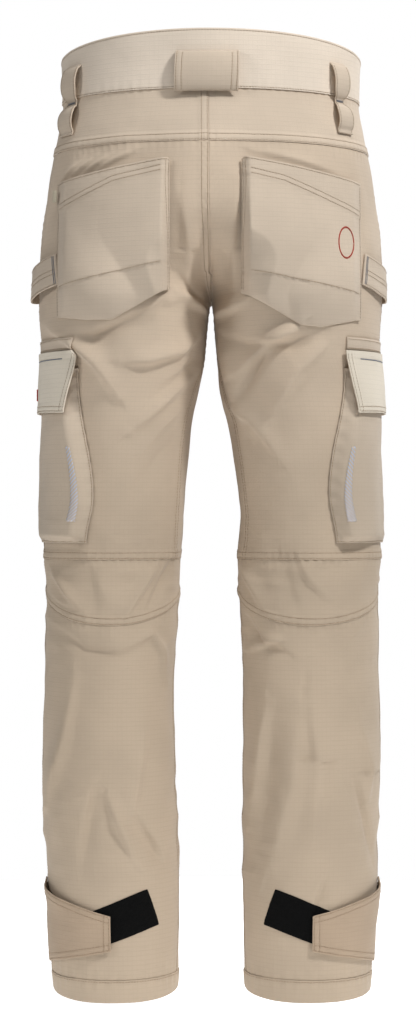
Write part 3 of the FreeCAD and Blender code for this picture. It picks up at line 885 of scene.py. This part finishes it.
def knee_lower(u):
    dip = np.where((u < 0.5) | (u > 1), KNEE_DIP, KNEE_RISE)
    return KNEE_SIDE - dip * np.abs(np.sin(2 * np.pi * u))


def band_top(u):
    far = np.where(np.abs(u) < 0.5, BAND_TOP_BACK, 2 * BAND_TOP_SIDE - WAIST_H)
    return mix(BAND_TOP_SIDE, far, np.cos(np.pi * u))


def hem_edge(u):
    return HEM_RISE * (1 - np.maximum(0, np.sin(2 * np.pi * u))) ** 1.5


def mouth_u(h):
    return np.where(h > 858, mix(0.5 + SEAM_U, 0.63, smooth(h, 858, BAND_SEAM + 60)), 0.5 + SEAM_U)


def pucker(d, run, deep=0.3, reach=12.0, pitch=9.0):
    """Small gathers that thread pulls into the cloth beside a seam."""
    return deep * np.exp(-((d / reach) ** 2)) * np.sin(2 * np.pi * run / pitch + 1.7 * np.sin(run / 31))


# ---- seat and legs ----
SHIN_INSEAM = 0.012  # the inner seam below the knee lies further round than the one above it


def legs(side, n):
    def back(s, t):
        h = mix(KNEE_TOP, YOKE_SEAM, t)
        return cloth(side, mix(centre_u(side, h), 0.5 - SEAM_U, s), h)

    def front(s, t):
        low = knee_upper(mix(0.5, 1.06, s))
        h = mix(low, BAND_SEAM, t)
        end = np.where(h < CROTCH, 1 + inseam(h), 1)
        return cloth(side, mix(mouth_u(h), end, s), h)

    def between(a, b, low, high):
        def f(s, t):
            u = mix(a, b, s)
            return cloth(side, u, mix(low(u), high(u), t))
        return f

    knee_line = lambda u: KNEE_TOP + 0 * u
    hem_line = lambda u: HEM_SEAM + 0 * u
    rows = [
        # name, function, width, length, bump, CAD nodes
        ("seat_thigh_back", back, 300, 456,
         lambda p: lap(p.left) * (side < 0) + lap(p.low) + pucker(p.left, p.low) + pucker(p.low, p.left)
         + 0.8 * pucker(p.high, p.left), ("seat_panel", "leg_top", "thigh_back")),
        ("hip_thigh_front", front, 300, 516,
         lambda p: lap(p.left) + lap(p.low) + pucker(p.left, p.low) + pucker(p.low, p.left),
         ("hip_front", "thigh_front")),
        ("knee_back", between(SHIN_INSEAM, 0.5 - SEAM_U, knee_lower, knee_line), 250, 60,
         lambda p: lap(p.low) + pucker(p.low, p.left) + pucker(p.high, p.left), ("knee_back",)),
        ("knee_front", between(0.5 + SEAM_U, 1 + SHIN_INSEAM, knee_lower, knee_upper), 250, 60,
         lambda p: lap(p.low) + lap(p.left) + pucker(p.high, p.left), ("knee_front",)),
        ("shin_back", between(SHIN_INSEAM, 0.5 - SEAM_U, hem_line, knee_lower), 240, 400,
         lambda p: pucker(p.high, p.left) + pucker(p.low, p.left, 0.5, 16, 13), ("shin_back",)),
        ("shin_front", between(0.5 + SEAM_U, 1 + SHIN_INSEAM, hem_line, knee_lower), 240, 400,
         lambda p: lap(p.left) + pucker(p.low, p.left, 0.5, 16, 13), ("shin_front",)),
        ("hem_back", between(SHIN_INSEAM, 0.5 - SEAM_U, hem_edge, hem_line), 230, 25,
         lambda p: 0.9 + pucker(p.high, p.left, 0.6, 14, 13), ("hem",)),
        ("hem_front", between(0.5 + SEAM_U, 1 + SHIN_INSEAM, hem_edge, hem_line), 230, 25,
         lambda p: 0.9 + pucker(p.high, p.left, 0.6, 14, 13), ()),
    ]
    made = {}
    for name, f, wide, long, bump, nodes in rows:
        step = 2.5 if "back" in name else 4.5
        p = Piece(name + "_" + n, f, spaced(wide, step), spaced(long, step), 1.2, side, bump)
        sew(p, CLOTH, LINING, [x + "_" + n for x in nodes], "hip" if "thigh" in name else "knee", n)
        made[name] = p
    back, front = made["seat_thigh_back"], made["hip_thigh_front"]
    for d in LAP:
        stitch(back.beside("low", d), "hip", n)
        stitch(front.beside("low", d), "hip", n)
        stitch(front.beside("left", d), "hip", n)
        if side < 0:
            stitch(back.beside("left", d, 0.64), "hip", n)
        for name in ("knee_back", "knee_front"):
            stitch(made[name].beside("low", d), "knee", n)
        stitch(made["knee_front"].beside("left", d), "knee", n)
        stitch(made["shin_front"].beside("left", d), "knee", n)
        stitch(back.beside("left", d, 0, 0.62 if side < 0 else 0.63), "hip", n)
        stitch(made["shin_back"].beside("left", d), "knee", n)
    for name in ("hem_back", "hem_front"):
        stitch(made[name].beside("high", 2.0), "knee", n)


for side, name in SIDES:
    legs(side, name)


# ---- waist ----
def waist():
    def band(s, t):
        u = mix(-0.5 + SEAM_U, 0.5 - SEAM_U, s)
        return cloth(1, u, mix(BAND_SEAM, band_top(u), t), 1.2, hip_point)

    def edge_bump(p):
        return (lap(p.low, 0.2, (1.8,)) + lap(p.high, 0.3, (2.2,)) + pucker(p.low, p.left, 0.35, 10, 11)
                + 0.6 * noise(p.p, (60, 60, 30), 5))

    p = Piece("waistband_back", band, spaced(540, 3.4, False, False), spaced(60, 3.4), 3.0, 1, edge_bump)
    sew(p, CLOTH_BAND_LIT, LINING, ["waistband_back"], "pelvis")
    for edge, d in (("low", 1.8), ("high", 2.2)):
        stitch(p.beside(edge, d, 0.002, 0.998), "pelvis")
    for side, n in SIDES:
        end = 0.985 if side > 0 else 0.928

        def front(s, t):
            u = mix(0.5 + SEAM_U, end, s)
            return cloth(side, u, mix(BAND_SEAM, band_top(u), t), 1.2, hip_point)

        p = Piece("waistband_front_" + n, front, spaced(250, 4.5), spaced(40, 4), 3.0, side,
                  lambda p: lap(p.low, 0.2, (1.8,)) + lap(p.high, 0.3, (2.2,)))
        sew(p, CLOTH_BAND_LIT, LINING, ["waistband_front_" + n], "pelvis")
        for edge, d in (("low", 1.8), ("high", 2.2)):
            stitch(p.beside(edge, d), "pelvis")

        def yoke(s, t):
            h = mix(YOKE_SEAM, BAND_SEAM, t)
            return cloth(side, mix(centre_u(side, h), 0.5 - SEAM_U, s), h)

        p = Piece("yoke_" + n, yoke, spaced(270, 3.2), spaced(60, 3.2), 1.3, side,
                  lambda p: lap(p.low, 1.2) + lap(p.left) * (side < 0) + pucker(p.low, p.left)
                  + pucker(p.high, p.left, 0.25, 8))
        sew(p, CLOTH_YOKE_LIT, LINING, ["yoke_" + n], "pelvis")
        for d in LAP:
            stitch(p.beside("low", d), "pelvis")
            if side < 0:
                stitch(p.beside("left", d), "pelvis")

    def lining(s, t):
        u = mix(-0.9, 0.9, s)
        return cloth(1, u, mix(BAND_SEAM + 4, band_top(np.abs(u)) - 3, t), -2.4, hip_point)

    p = Piece("waistband_lining", lining, spaced(900, 5, False, False), spaced(50, 5), 0.8, 1)
    sew(p, LINING, None, ["waistband_lining"], "pelvis", slot="lining_cloth")


waist()

# ---- back pockets ----
POCKETS = {
    1: {"x": (33, 165), "top": (930, 908), "low": ([0, 0.49, 0.66, 1], [784, 747, 745, 755]),
        "face": (806, 781), "band": ([0, 0.35, 1], [911, 901, 868])},
    -1: {"x": (45, 170), "top": (929, 909), "low": ([0, 0.5, 0.73, 1], [788, 753, 753, 758]),
         "face": (815, 789), "band": ([0, 0.5, 1], [914, 902, 876])},
}


def back_pocket(side, n):
    shape = POCKETS[side]

    def edges(s):
        return np.interp(s, *shape["low"]), mix(*shape["top"], s) + 3 * smooth(s, 0, 0.03) - 3

    def f(s, t):
        low, high = edges(s)
        h = mix(low, high, t)
        x = mix(*shape["x"], s)
        u = u_at(x, h)
        base = cloth(side, u, h)
        y = base[..., 1]
        half, deep, mid = along(HIP_SECTIONS, h)
        seat = mid - deep * np.sqrt(1 - (x / half) ** 2)
        held = np.minimum(y, np.maximum(seat, y - 14))
        face = mix(*shape["face"], s)
        full = 2.2 + mix(14, 8, smooth(t, 0.05, 0.95))
        gusset = np.clip((h - low) / (face - low), 0, 1)
        full = full * (0.15 + 0.85 * gusset ** 0.75) + 1.2 * (h > face)
        walls = smooth(s, 0, 0.075) * (1 - smooth(s, 0.92, 1))
        slant = 2.2 + 3.0 * smooth(s, 0.4, 1) + 1.5 * (1 - smooth(s, 0, 0.3))
        q = np.stack([side * x, mix(y - slant, held - full, walls), h - WAIST_H], -1)
        q[..., 1] -= 2.6 * noise(q, (75, 400, 60), 6) + 1.2 * noise(q, (30, 400, 34), 7)
        return q

    def height_of(p):
        return p.p[..., 2] + WAIST_H

    def bump(p):
        s = np.broadcast_to(p.s[:, None], p.left.shape)
        band = np.interp(s, *shape["band"])
        raised = 0.9 * smooth(height_of(p) - band, -1, 1)
        grooves = sum(0.5 * np.exp(-(((height_of(p) - band - d) / 1.0) ** 2)) for d in (2.0, 7.5))
        face = mix(*shape["face"], s)
        seam = 0.9 * np.exp(-(((height_of(p) - face) / 1.3) ** 2))
        return raised - grooves - seam + lap(p.left, 0.8, (2.0, 7.0)) + lap(p.right, 0.4, (2.0,)) \
            + pucker(p.left, p.low, 0.25, 9) + pucker(p.high, p.left, 0.2, 6)

    piece = Piece("back_pocket_" + n, f, spaced(150, 2.4), spaced(185, 2.6), 1.3, side, bump)
    sew(piece, CLOTH_POCKET, LINING, ["back_pocket_" + n], "hip", n)
    s = np.linspace(0.075, 0.985, 150)
    low, high = edges(s)

    def level(h):
        return piece.at(s, (h - low) / (high - low))

    for d in (2.0, 7.5):
        stitch(level(np.interp(s, *shape["band"]) + d), "hip", n)
    stitch(level(mix(*shape["face"], s) + 1.6), "hip", n)
    for d in (2.0, 7.0):
        stitch(piece.beside("left", d, 0.0 if side < 0 else 0.03, 0.99), "hip", n)
    stitch(piece.beside("right", 2.0, 0.01, 0.99), "hip", n)
    stitch(piece.beside("high", 2.0, 0.0, 1.0), "hip", n)
    if side > 0:
        turn = np.linspace(0, 2 * np.pi, 90)
        for size in (1.0, 0.94):
            ring = piece.at(0.868 + 0.066 * size * np.cos(turn), 0.545 + 0.112 * size * np.sin(turn))
            stitch(ring, "hip", n, 1.6, 0.42, "red_stitches")


for side, n in SIDES:
    back_pocket(side, n)


# ---- thigh pockets and flaps ----
FLAP_U, FLAP_H = (0.334, 0.566), (655.0, 722.0)
PRINT_ROWS, PRINT_IN, PRINT_WIDE = (0.13, 0.56), 23, (11.0, 5.0)


def cargo_rear(t):
    return 0.303 - 0.014 * smooth(t, 0, 0.25) + 0.046 * smooth(t, 0.25, 1)


def cargo(side, n):
    def pocket(s, t):
        u = mix(cargo_rear(t), 0.578, s)
        walls = smooth(s, 0, 0.10) * (1 - smooth(s, 0.9, 1)) * smooth(t, 0, 0.05)
        full = mix(15.0, 3.2, smooth(u, 0.34, 0.46)) * mix(1, 0.3, smooth(t, 0.6, 1))
        h = mix(510, 702, t)
        q = cloth(side, u, h, 2.2 + full * walls)
        swell = 1.6 * noise(q, (60, 60, 55), 8) * smooth(s, 0.05, 0.3) * smooth(t, 0.02, 0.2)
        q[..., 0] += side * np.maximum(swell, -1.0)
        return q

    p = Piece("cargo_pocket_" + n, pocket, spaced(170, 2.8), spaced(200, 2.8), 1.2, side,
              lambda p: lap(p.right, 0.5) + lap(p.low, 0.4, (2.0,))
              + pucker(p.low, p.left, 0.4, 12, 12) + pucker(p.left, p.low, 0.5, 14, 15))
    sew(p, CLOTH_POCKET, LINING, ["cargo_pocket_" + n], "thigh_" + n)
    body = "thigh_" + n
    stitch(p.beside("low", 2.0), body)
    stitch(p.beside("left", 1.5), body)
    edge_rows(p, ("right",), LAP, body)

    def crescent(s, t):
        """A slim curved strip of reflective print beside the rear edge."""
        row = mix(*PRINT_ROWS, t)
        out = PRINT_IN + (s - 0.5) * mix(*PRINT_WIDE, t)
        j = np.clip(np.interp(row, p.t, np.arange(len(p.t))).round().astype(int), 0, len(p.t) - 1)
        share = np.empty(row.shape)
        for k in np.ndindex(row.shape):
            share[k] = np.interp(out[k], p.left[:, j[k]], p.s)
        q, normal = p.at(share.ravel(), row.ravel())
        return (q + normal * 0.45).reshape(*row.shape, 3)

    strip = Piece("reflective_print_" + n, crescent, np.linspace(0, 1, 6), np.linspace(0, 1, 44), 0.3, side)
    o = strip.mesh(REFLECTIVE)
    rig.ride(o, body)
    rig.slot(o, "ripstop_cloth")

    def flap(s, t):
        u = mix(FLAP_U[0] + 0.010 * (1 - t), FLAP_U[1], s)
        low = mix(17.6, 8.8, smooth(u, 0.34, 0.46))
        q = cloth(side, u, mix(*FLAP_H, t), mix(low, 4.8, smooth(t, 0, 1.1)))
        q[..., 0] += side * 0.8 * noise(q, (40, 40, 30), 9)
        return q

    p = Piece("cargo_flap_" + n, flap, spaced(125, 2.6), spaced(70, 2.6), 1.6, side,
              lambda p: lap(p.left, 0.5, (2, 7)) + lap(p.low, 0.5, (2, 7)) + lap(p.right, 0.5, (2, 7))
              - 0.5 * np.exp(-(((p.high - 9) / 1.2) ** 2)))
    sew(p, CLOTH_FLAP_LIT, CLOTH, ["cargo_flap_" + n, "flap_fold_" + n], "flap", n)
    edge_rows(p, ("left", "right", "low"), (2.0, 7.0), "flap", n, 0.02, 0.97)
    stitch(p.beside("high", 9.0, 0.14, 0.62), "flap", n, 2.6, 0.6, "bartacks")

    def base(s, t):
        return cloth(side, mix(0.340, 0.560, s), mix(722.5, 736, t), mix(2.6, 1.8, t))

    p = Piece("flap_base_" + n, base, spaced(120, 3, False, False), spaced(13.5, 2, False, False), 1.3, side)
    sew(p, CLOTH_POCKET, None, ["flap_base_" + n], "hip", n)
    edge_rows(p, ("low", "high"), (2.0,), "hip", n, 0.01, 0.99)

    def knee(s, t):
        walls = smooth(s, 0, 0.14) * (1 - smooth(s, 0.86, 1)) * smooth(t, 0, 0.12)
        return cloth(side, mix(0.625, 0.875, s), mix(395, 560, t), 2.2 + 8.5 * walls)

    p = Piece("knee_pad_pocket_" + n, knee, spaced(130, 4), spaced(165, 4), 1.4, side,
              lambda p: lap(p.left, 0.5) + lap(p.right, 0.5) + lap(p.low, 0.5) + lap(p.high, 0.6, (22.0,)))
    sew(p, CLOTH_POCKET, LINING, ["knee_pad_pocket_" + n], "knee", n)
    edge_rows(p, ("left", "right", "low"), LAP, "knee", n, 0.01, 0.99)
    stitch(p.beside("high", 22.0, 0.08, 0.92), "knee", n)

    def bag(s, t):
        edge = smooth(s, 0, 0.45) * (1 - smooth(s, 0.80, 1)) * smooth(t, 0, 0.20)
        return cloth(side, mix(0.492, 0.80, s), mix(796, BAND_SEAM - 3, t), -(2.8 + 15.5 * edge))

    p = Piece("front_pocket_bag_" + n, bag, np.linspace(0, 1, 44), np.linspace(0, 1, 50), 0.8, side)
    sew(p, CLOTH_POCKET, LINING, ["front_pocket_bag_" + n], "pelvis", slot="lining_cloth")


for side, n in SIDES:
    cargo(side, n)


# ---- loops ----
def arch(t, start, end, power=0.5):
    return np.sin(np.pi * np.clip((t - start) / (end - start), 0, 1)) ** power


def loops():
    def wide(s, t):
        u = mix(-0.0735, 0.0555, s) + 0.003 * (t - 0.5)
        return cloth(1, u, mix(1002, 1048, t), 3.0 + 9.5 * arch(t, -0.02, 1.0, 0.42), hip_point)

    def place(name, f, s, t, side, node, where, n=None, rows=(2.0,), edges=("left", "right"), thick=1.5):
        p = Piece(name, f, s, t, thick, side,
                  lambda p: sum(lap(getattr(p, e), 0.35, rows) for e in edges))
        sew(p, CLOTH_POCKET, None, [node] if node else None, where, n)
        for e in edges:
            for d in rows:
                stitch(p.beside(e, d, 0.02, 0.98), where, n)
        return p

    place("belt_loop_centre", wide, spaced(72, 2.4), spaced(60, 2.0, False, False), 1, "belt_loop_centre",
          "pelvis", None, (2.0, 8.0))
    for side, n in SIDES:
        left, right = (0.288, 0.343) if side > 0 else (0.330, 0.400)

        def two_step(s, t):
            pinch = 0.010 * np.exp(-(((t - 0.46) / 0.10) ** 2))
            u = mix(left + pinch, right - pinch, s) + 0.012 * (0.5 - t)
            stand = 3.0 + 8.0 * arch(t, 0.50, 0.98) + 6.5 * arch(t, 0.06, 0.42, 0.6)
            return cloth(side, u, mix(964, 1043, t), stand, hip_point)

        p = place("belt_loop_side_" + n, two_step, spaced(30, 2.2), spaced(110, 1.8, False, False), side,
                  "belt_loops_side" if side > 0 else None, "pelvis", None, (2.0,))
        s = np.linspace(0.12, 0.88, 24)
        for t in (0.452, 0.468):
            stitch(p.at(s, np.full(24, t)), "pelvis", None, 1.2, 0.5, "bartacks")

        def one_step(s, t):
            stand = 3.0 + 8.0 * arch(t, 0, 1)
            return cloth(side, mix(0.70, 0.728, s), mix(BAND_SEAM - 6, 1034, t), stand, hip_point)

        place("belt_loop_front_" + n, one_step,
              spaced(14, 2, False, False), spaced(50, 1.8, False, False), side,
              "belt_loops_front" if side > 0 else None, "pelvis", None, (2.0,))

        def hammer(s, t):
            sag = 12 * np.sin(np.pi * s)
            stand = np.sin(np.pi * np.clip(s, 0, 1)) ** 0.5
            lift = 2.4 + mix(7.4, 6.2, t) * stand * (0.45 if side > 0 else 1.0)
            return cloth(side, mix(0.366, 0.63, s), mix(794 - sag, 829 - sag, t), lift)

        p = place("hammer_loop_" + n, hammer, spaced(140, 2.6, False, False), spaced(35, 2.0), side,
                  "hammer_loop_" + n, "hip", n, (2.0, 14.0, 19.0), ("low",))
        stitch(p.beside("high", 2.0, 0.02, 0.98), "hip", n)
        t = np.linspace(0.05, 0.95, 30)
        for s in (0.022, 0.035):
            stitch(p.at(np.full(30, s), t), "hip", n, 1.2, 0.5, "bartacks")


loops()


# ---- fly and waist tab ----
def front_y(x, h):
    """How far forward the smooth front is, x out from the centre."""
    low, high = np.full(np.shape(h), 0.5), np.ones(np.shape(h))
    for _ in range(24):
        middle = (low + high) / 2
        less = skin(middle, h)[..., 0] < x
        low, high = np.where(less, low, middle), np.where(less, middle, high)
    return skin((low + high) / 2, h)[..., 1]


def fly():
    def placket(s, t):
        s = 1 - s
        sewn = 2 - 34 * (1 - smooth(0.16 - t, 0, 0.16) ** 2)
        x = mix(sewn, 10, s)
        h = mix(846, BAND_SEAM - 3, t)
        over_zip = 7.8 * smooth(x, -26, -8) * (1 - 0.6 * smooth(x, 4.5, 10))
        y = front_y(np.maximum(np.abs(x), 14), h) + 2.8 + over_zip
        return np.stack([x, y, h - WAIST_H], -1)

    p = Piece("fly_placket", placket, spaced(42, 2.5), spaced(160, 3, False, False), 1.2, 1,
              lambda p: lap(p.left, 0.3, (2.0,)))
    sew(p, CLOTH, LINING, ["fly_placket"], "pelvis")
    stitch(p.beside("left", 2.0, 0.03, 0.99), "pelvis")
    edge_rows(p, ("right",), LAP, "pelvis", None, 0.03, 0.99)
    root = -hip_point(0.93, np.array(1027.0))[0] + 0.4

    def tab(s, t):
        x = mix(root, 30, 1 - s)
        h = mix(BAND_SEAM + 1.5, WAIST_H - 1, t)
        half, deep, mid = along(HIP_SECTIONS, h)
        y = mid + deep * np.sqrt(1 - (x / half) ** 2)
        return np.stack([x, y + mix(1.2, 5.6, smooth(x, -28, -8)), h - WAIST_H], -1)

    p = Piece("waist_tab", tab, spaced(67, 2.5), spaced(31, 2.5), 2.4, 1,
              lambda p: lap(p.left, 0.3, (2.0,)) + lap(p.low, 0.3, (2.0,)) + lap(p.high, 0.3, (2.0,)))
    sew(p, CLOTH_BAND_LIT, None, ["waist_tab"], "tab")
    edge_rows(p, ("left", "low", "high"), (2.0,), "tab", None, 0.03, 0.97)


fly()


# ---- ankles ----
def ankles(side, n):
    def tab(s, t):
        low, high = mix(58, 34, s), mix(97, 130, s)
        gape = 3.0 * smooth(t, 0.6, 1) * smooth(s, 0.35, 0.6) * (1 - smooth(s, 0.72, 0.95))
        lift = 4.2 + gape - 2.2 * smooth(s, 0.8, 1)
        return cloth(side, mix(0.252, 0.500, s), mix(low, high, t), lift)

    p = Piece("ankle_tab_" + n, tab, spaced(125, 2.5), spaced(70, 2.5), 1.4, side,
              lambda p: sum(lap(getattr(p, e), 0.4, (2.0, 8.0)) for e in ("left", "low", "high"))
              + 0.8 * noise(p.p, (30, 30, 30), 10))
    sew(p, CLOTH_TAB, CLOTH, ["ankle_tab_" + n], "ankle", n)
    for d in (2.0, 8.0):
        for edge in ("low", "high"):
            stitch(p.beside(edge, d, 0.02, 0.99), "ankle", n)
        stitch(p.beside("left", d, 0.03, 0.97), "ankle", n)

    def patch(s, t):
        u = mix(mix(0.126, 0.160, t), 0.345, s)
        h = mix(86, 52, smooth(s, -0.2, 1.2)) + 41 * t
        return cloth(side, u, h, 1.5)

    p = Piece("loop_patch_" + n, patch, np.linspace(0, 1, 90), np.linspace(0, 1, 50), 1.2, side,
              lambda p: 0.5 * noise(p.p, 2.2, 11) + 0.3 * noise(p.p, 1.2, 12)
              - 0.9 * (np.exp(-p.left) + np.exp(-p.right) + np.exp(-p.low) + np.exp(-p.high)))
    sew(p, LOOP_TAPE, None, ["loop_patch_" + n], "knee", n, slot="loop_tape")


for side, n in SIDES:
    ankles(side, n)


def small_tab(name, body, centre, across, up, wide, tall, material):
    """A folded tag, sewn into an edge."""
    across, up = np.array(across, float), np.array(up, float)

    def f(s, t):
        a, b = (s - 0.5)[..., None] * wide, (t - 0.5)[..., None] * tall
        curl = np.array([0, -0.6, 0]) * np.sin(np.pi * s)[..., None]
        return np.array(centre, float) + across * a + up * b + curl

    p = Piece(name, f, np.linspace(0, 1, 12), np.linspace(0, 1, 20), 0.8, 1,
              lambda p: 0.25 * noise(p.p, 1.5, 13))
    o = p.mesh(material)
    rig.ride(o, body)
    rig.slot(o, "ripstop_cloth")


small_tab("side_tag", "pelvis", (-173.5, -73, 894 - WAIST_H), (0.8, -0.6, 0), (0, 0, 1), 6, 13, TAG)
small_tab("flap_tag", "cargo_flap_left", (-195.5, -24, 676 - WAIST_H), (0.1, 1, 0), (0, 0, 1), 7, 13, RED)

# ---- closures kept from the part ----
CLOSURES = (("zip_tape", ZIP_TAPE), ("zip_", ZIP_METAL), ("snap_", SNAP_METAL), ("hook", HOOK_TAPE))
for node, o in frame["nodes"].items():
    if o.hide_render:
        continue
    for label, material in CLOSURES:
        if label in node:
            o.data.materials.clear()
            o.data.materials.append(material)
            break

stitch_meshes()


# ---- floor, light and camera ----
def disc(name, radius, height, material):
    angle = np.linspace(0, 2 * np.pi, 97)[:-1]
    rings = [np.stack([np.cos(angle) * r, np.sin(angle) * r, np.full(96, height)], -1)
             for r in (radius * 0.02, radius * 0.5, radius)]
    verts = np.concatenate(rings)
    faces = [(a * 96 + b, a * 96 + (b + 1) % 96, a * 96 + 96 + (b + 1) % 96, a * 96 + 96 + b)
             for a in range(2) for b in range(96)]
    o = make_object(name, verts, np.array(faces)[:, ::-1], None, material)
    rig.stage(o)
    return o


floor_material, _, floor_shader = new_material("floor_white")
floor_shader.inputs["Base Color"].default_value = (0.92, 0.92, 0.92, 1)
floor_shader.inputs["Roughness"].default_value = 0.9
floor_shader.inputs["Emission Color"].default_value = (1, 1, 1, 1)
floor_shader.inputs["Emission Strength"].default_value = 0.75
disc("floor", 1.3, (-WAIST_H - 70) / 1000, floor_material)

scene = bpy.context.scene
scene.view_settings.view_transform = "Standard"
world = bpy.data.worlds.new("studio")
scene.world = world
world.use_nodes = True
k = Nodes(world.node_tree)
ray = k.new("ShaderNodeLightPath").outputs["Is Camera Ray"]
background = world.node_tree.nodes["Background"]
k.put(background.inputs["Color"], k.tint(ray, (0.16, 0.16, 0.16, 1), (1.0, 1.0, 1.0, 1)))


def lamp(name, place, target, size, power):
    data = bpy.data.lights.new(name, "AREA")
    data.shape = "DISK"
    data.size, data.energy = size, power
    o = bpy.data.objects.new(name, data)
    o.location = place
    o.rotation_euler = (Vector(target) - Vector(place)).to_track_quat("-Z", "Y").to_euler()
    scene.collection.objects.link(o)


# name, place, target, width in metres, watts
lamp("key", (1.5, -1.5, 1.6), (0, 0, -0.45), 0.35, 56)
lamp("fill", (-2.3, -1.5, 0.8), (0, 0, -0.45), 0.7, 19)
lamp("top", (0.2, -1.2, 1.9), (0, 0, -0.3), 1.2, 12)
lamp("front", (1.7, 2.2, 1.2), (0, 0, -0.5), 0.9, 34)

lens = bpy.data.cameras.new("camera")
lens.lens, lens.sensor_width, lens.sensor_fit = 82.46, 36.0, "AUTO"
camera = bpy.data.objects.new("camera", lens)
camera.location = (-0.0034, -2.7, -0.5014)
camera.rotation_euler = (math.pi / 2, 0, 0)
scene.collection.objects.link(camera)
scene.camera = camera

with open("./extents.json", "w") as f:
    json.dump({"cad": cad_box, "visual": [list(c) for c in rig.bounds()]}, f)
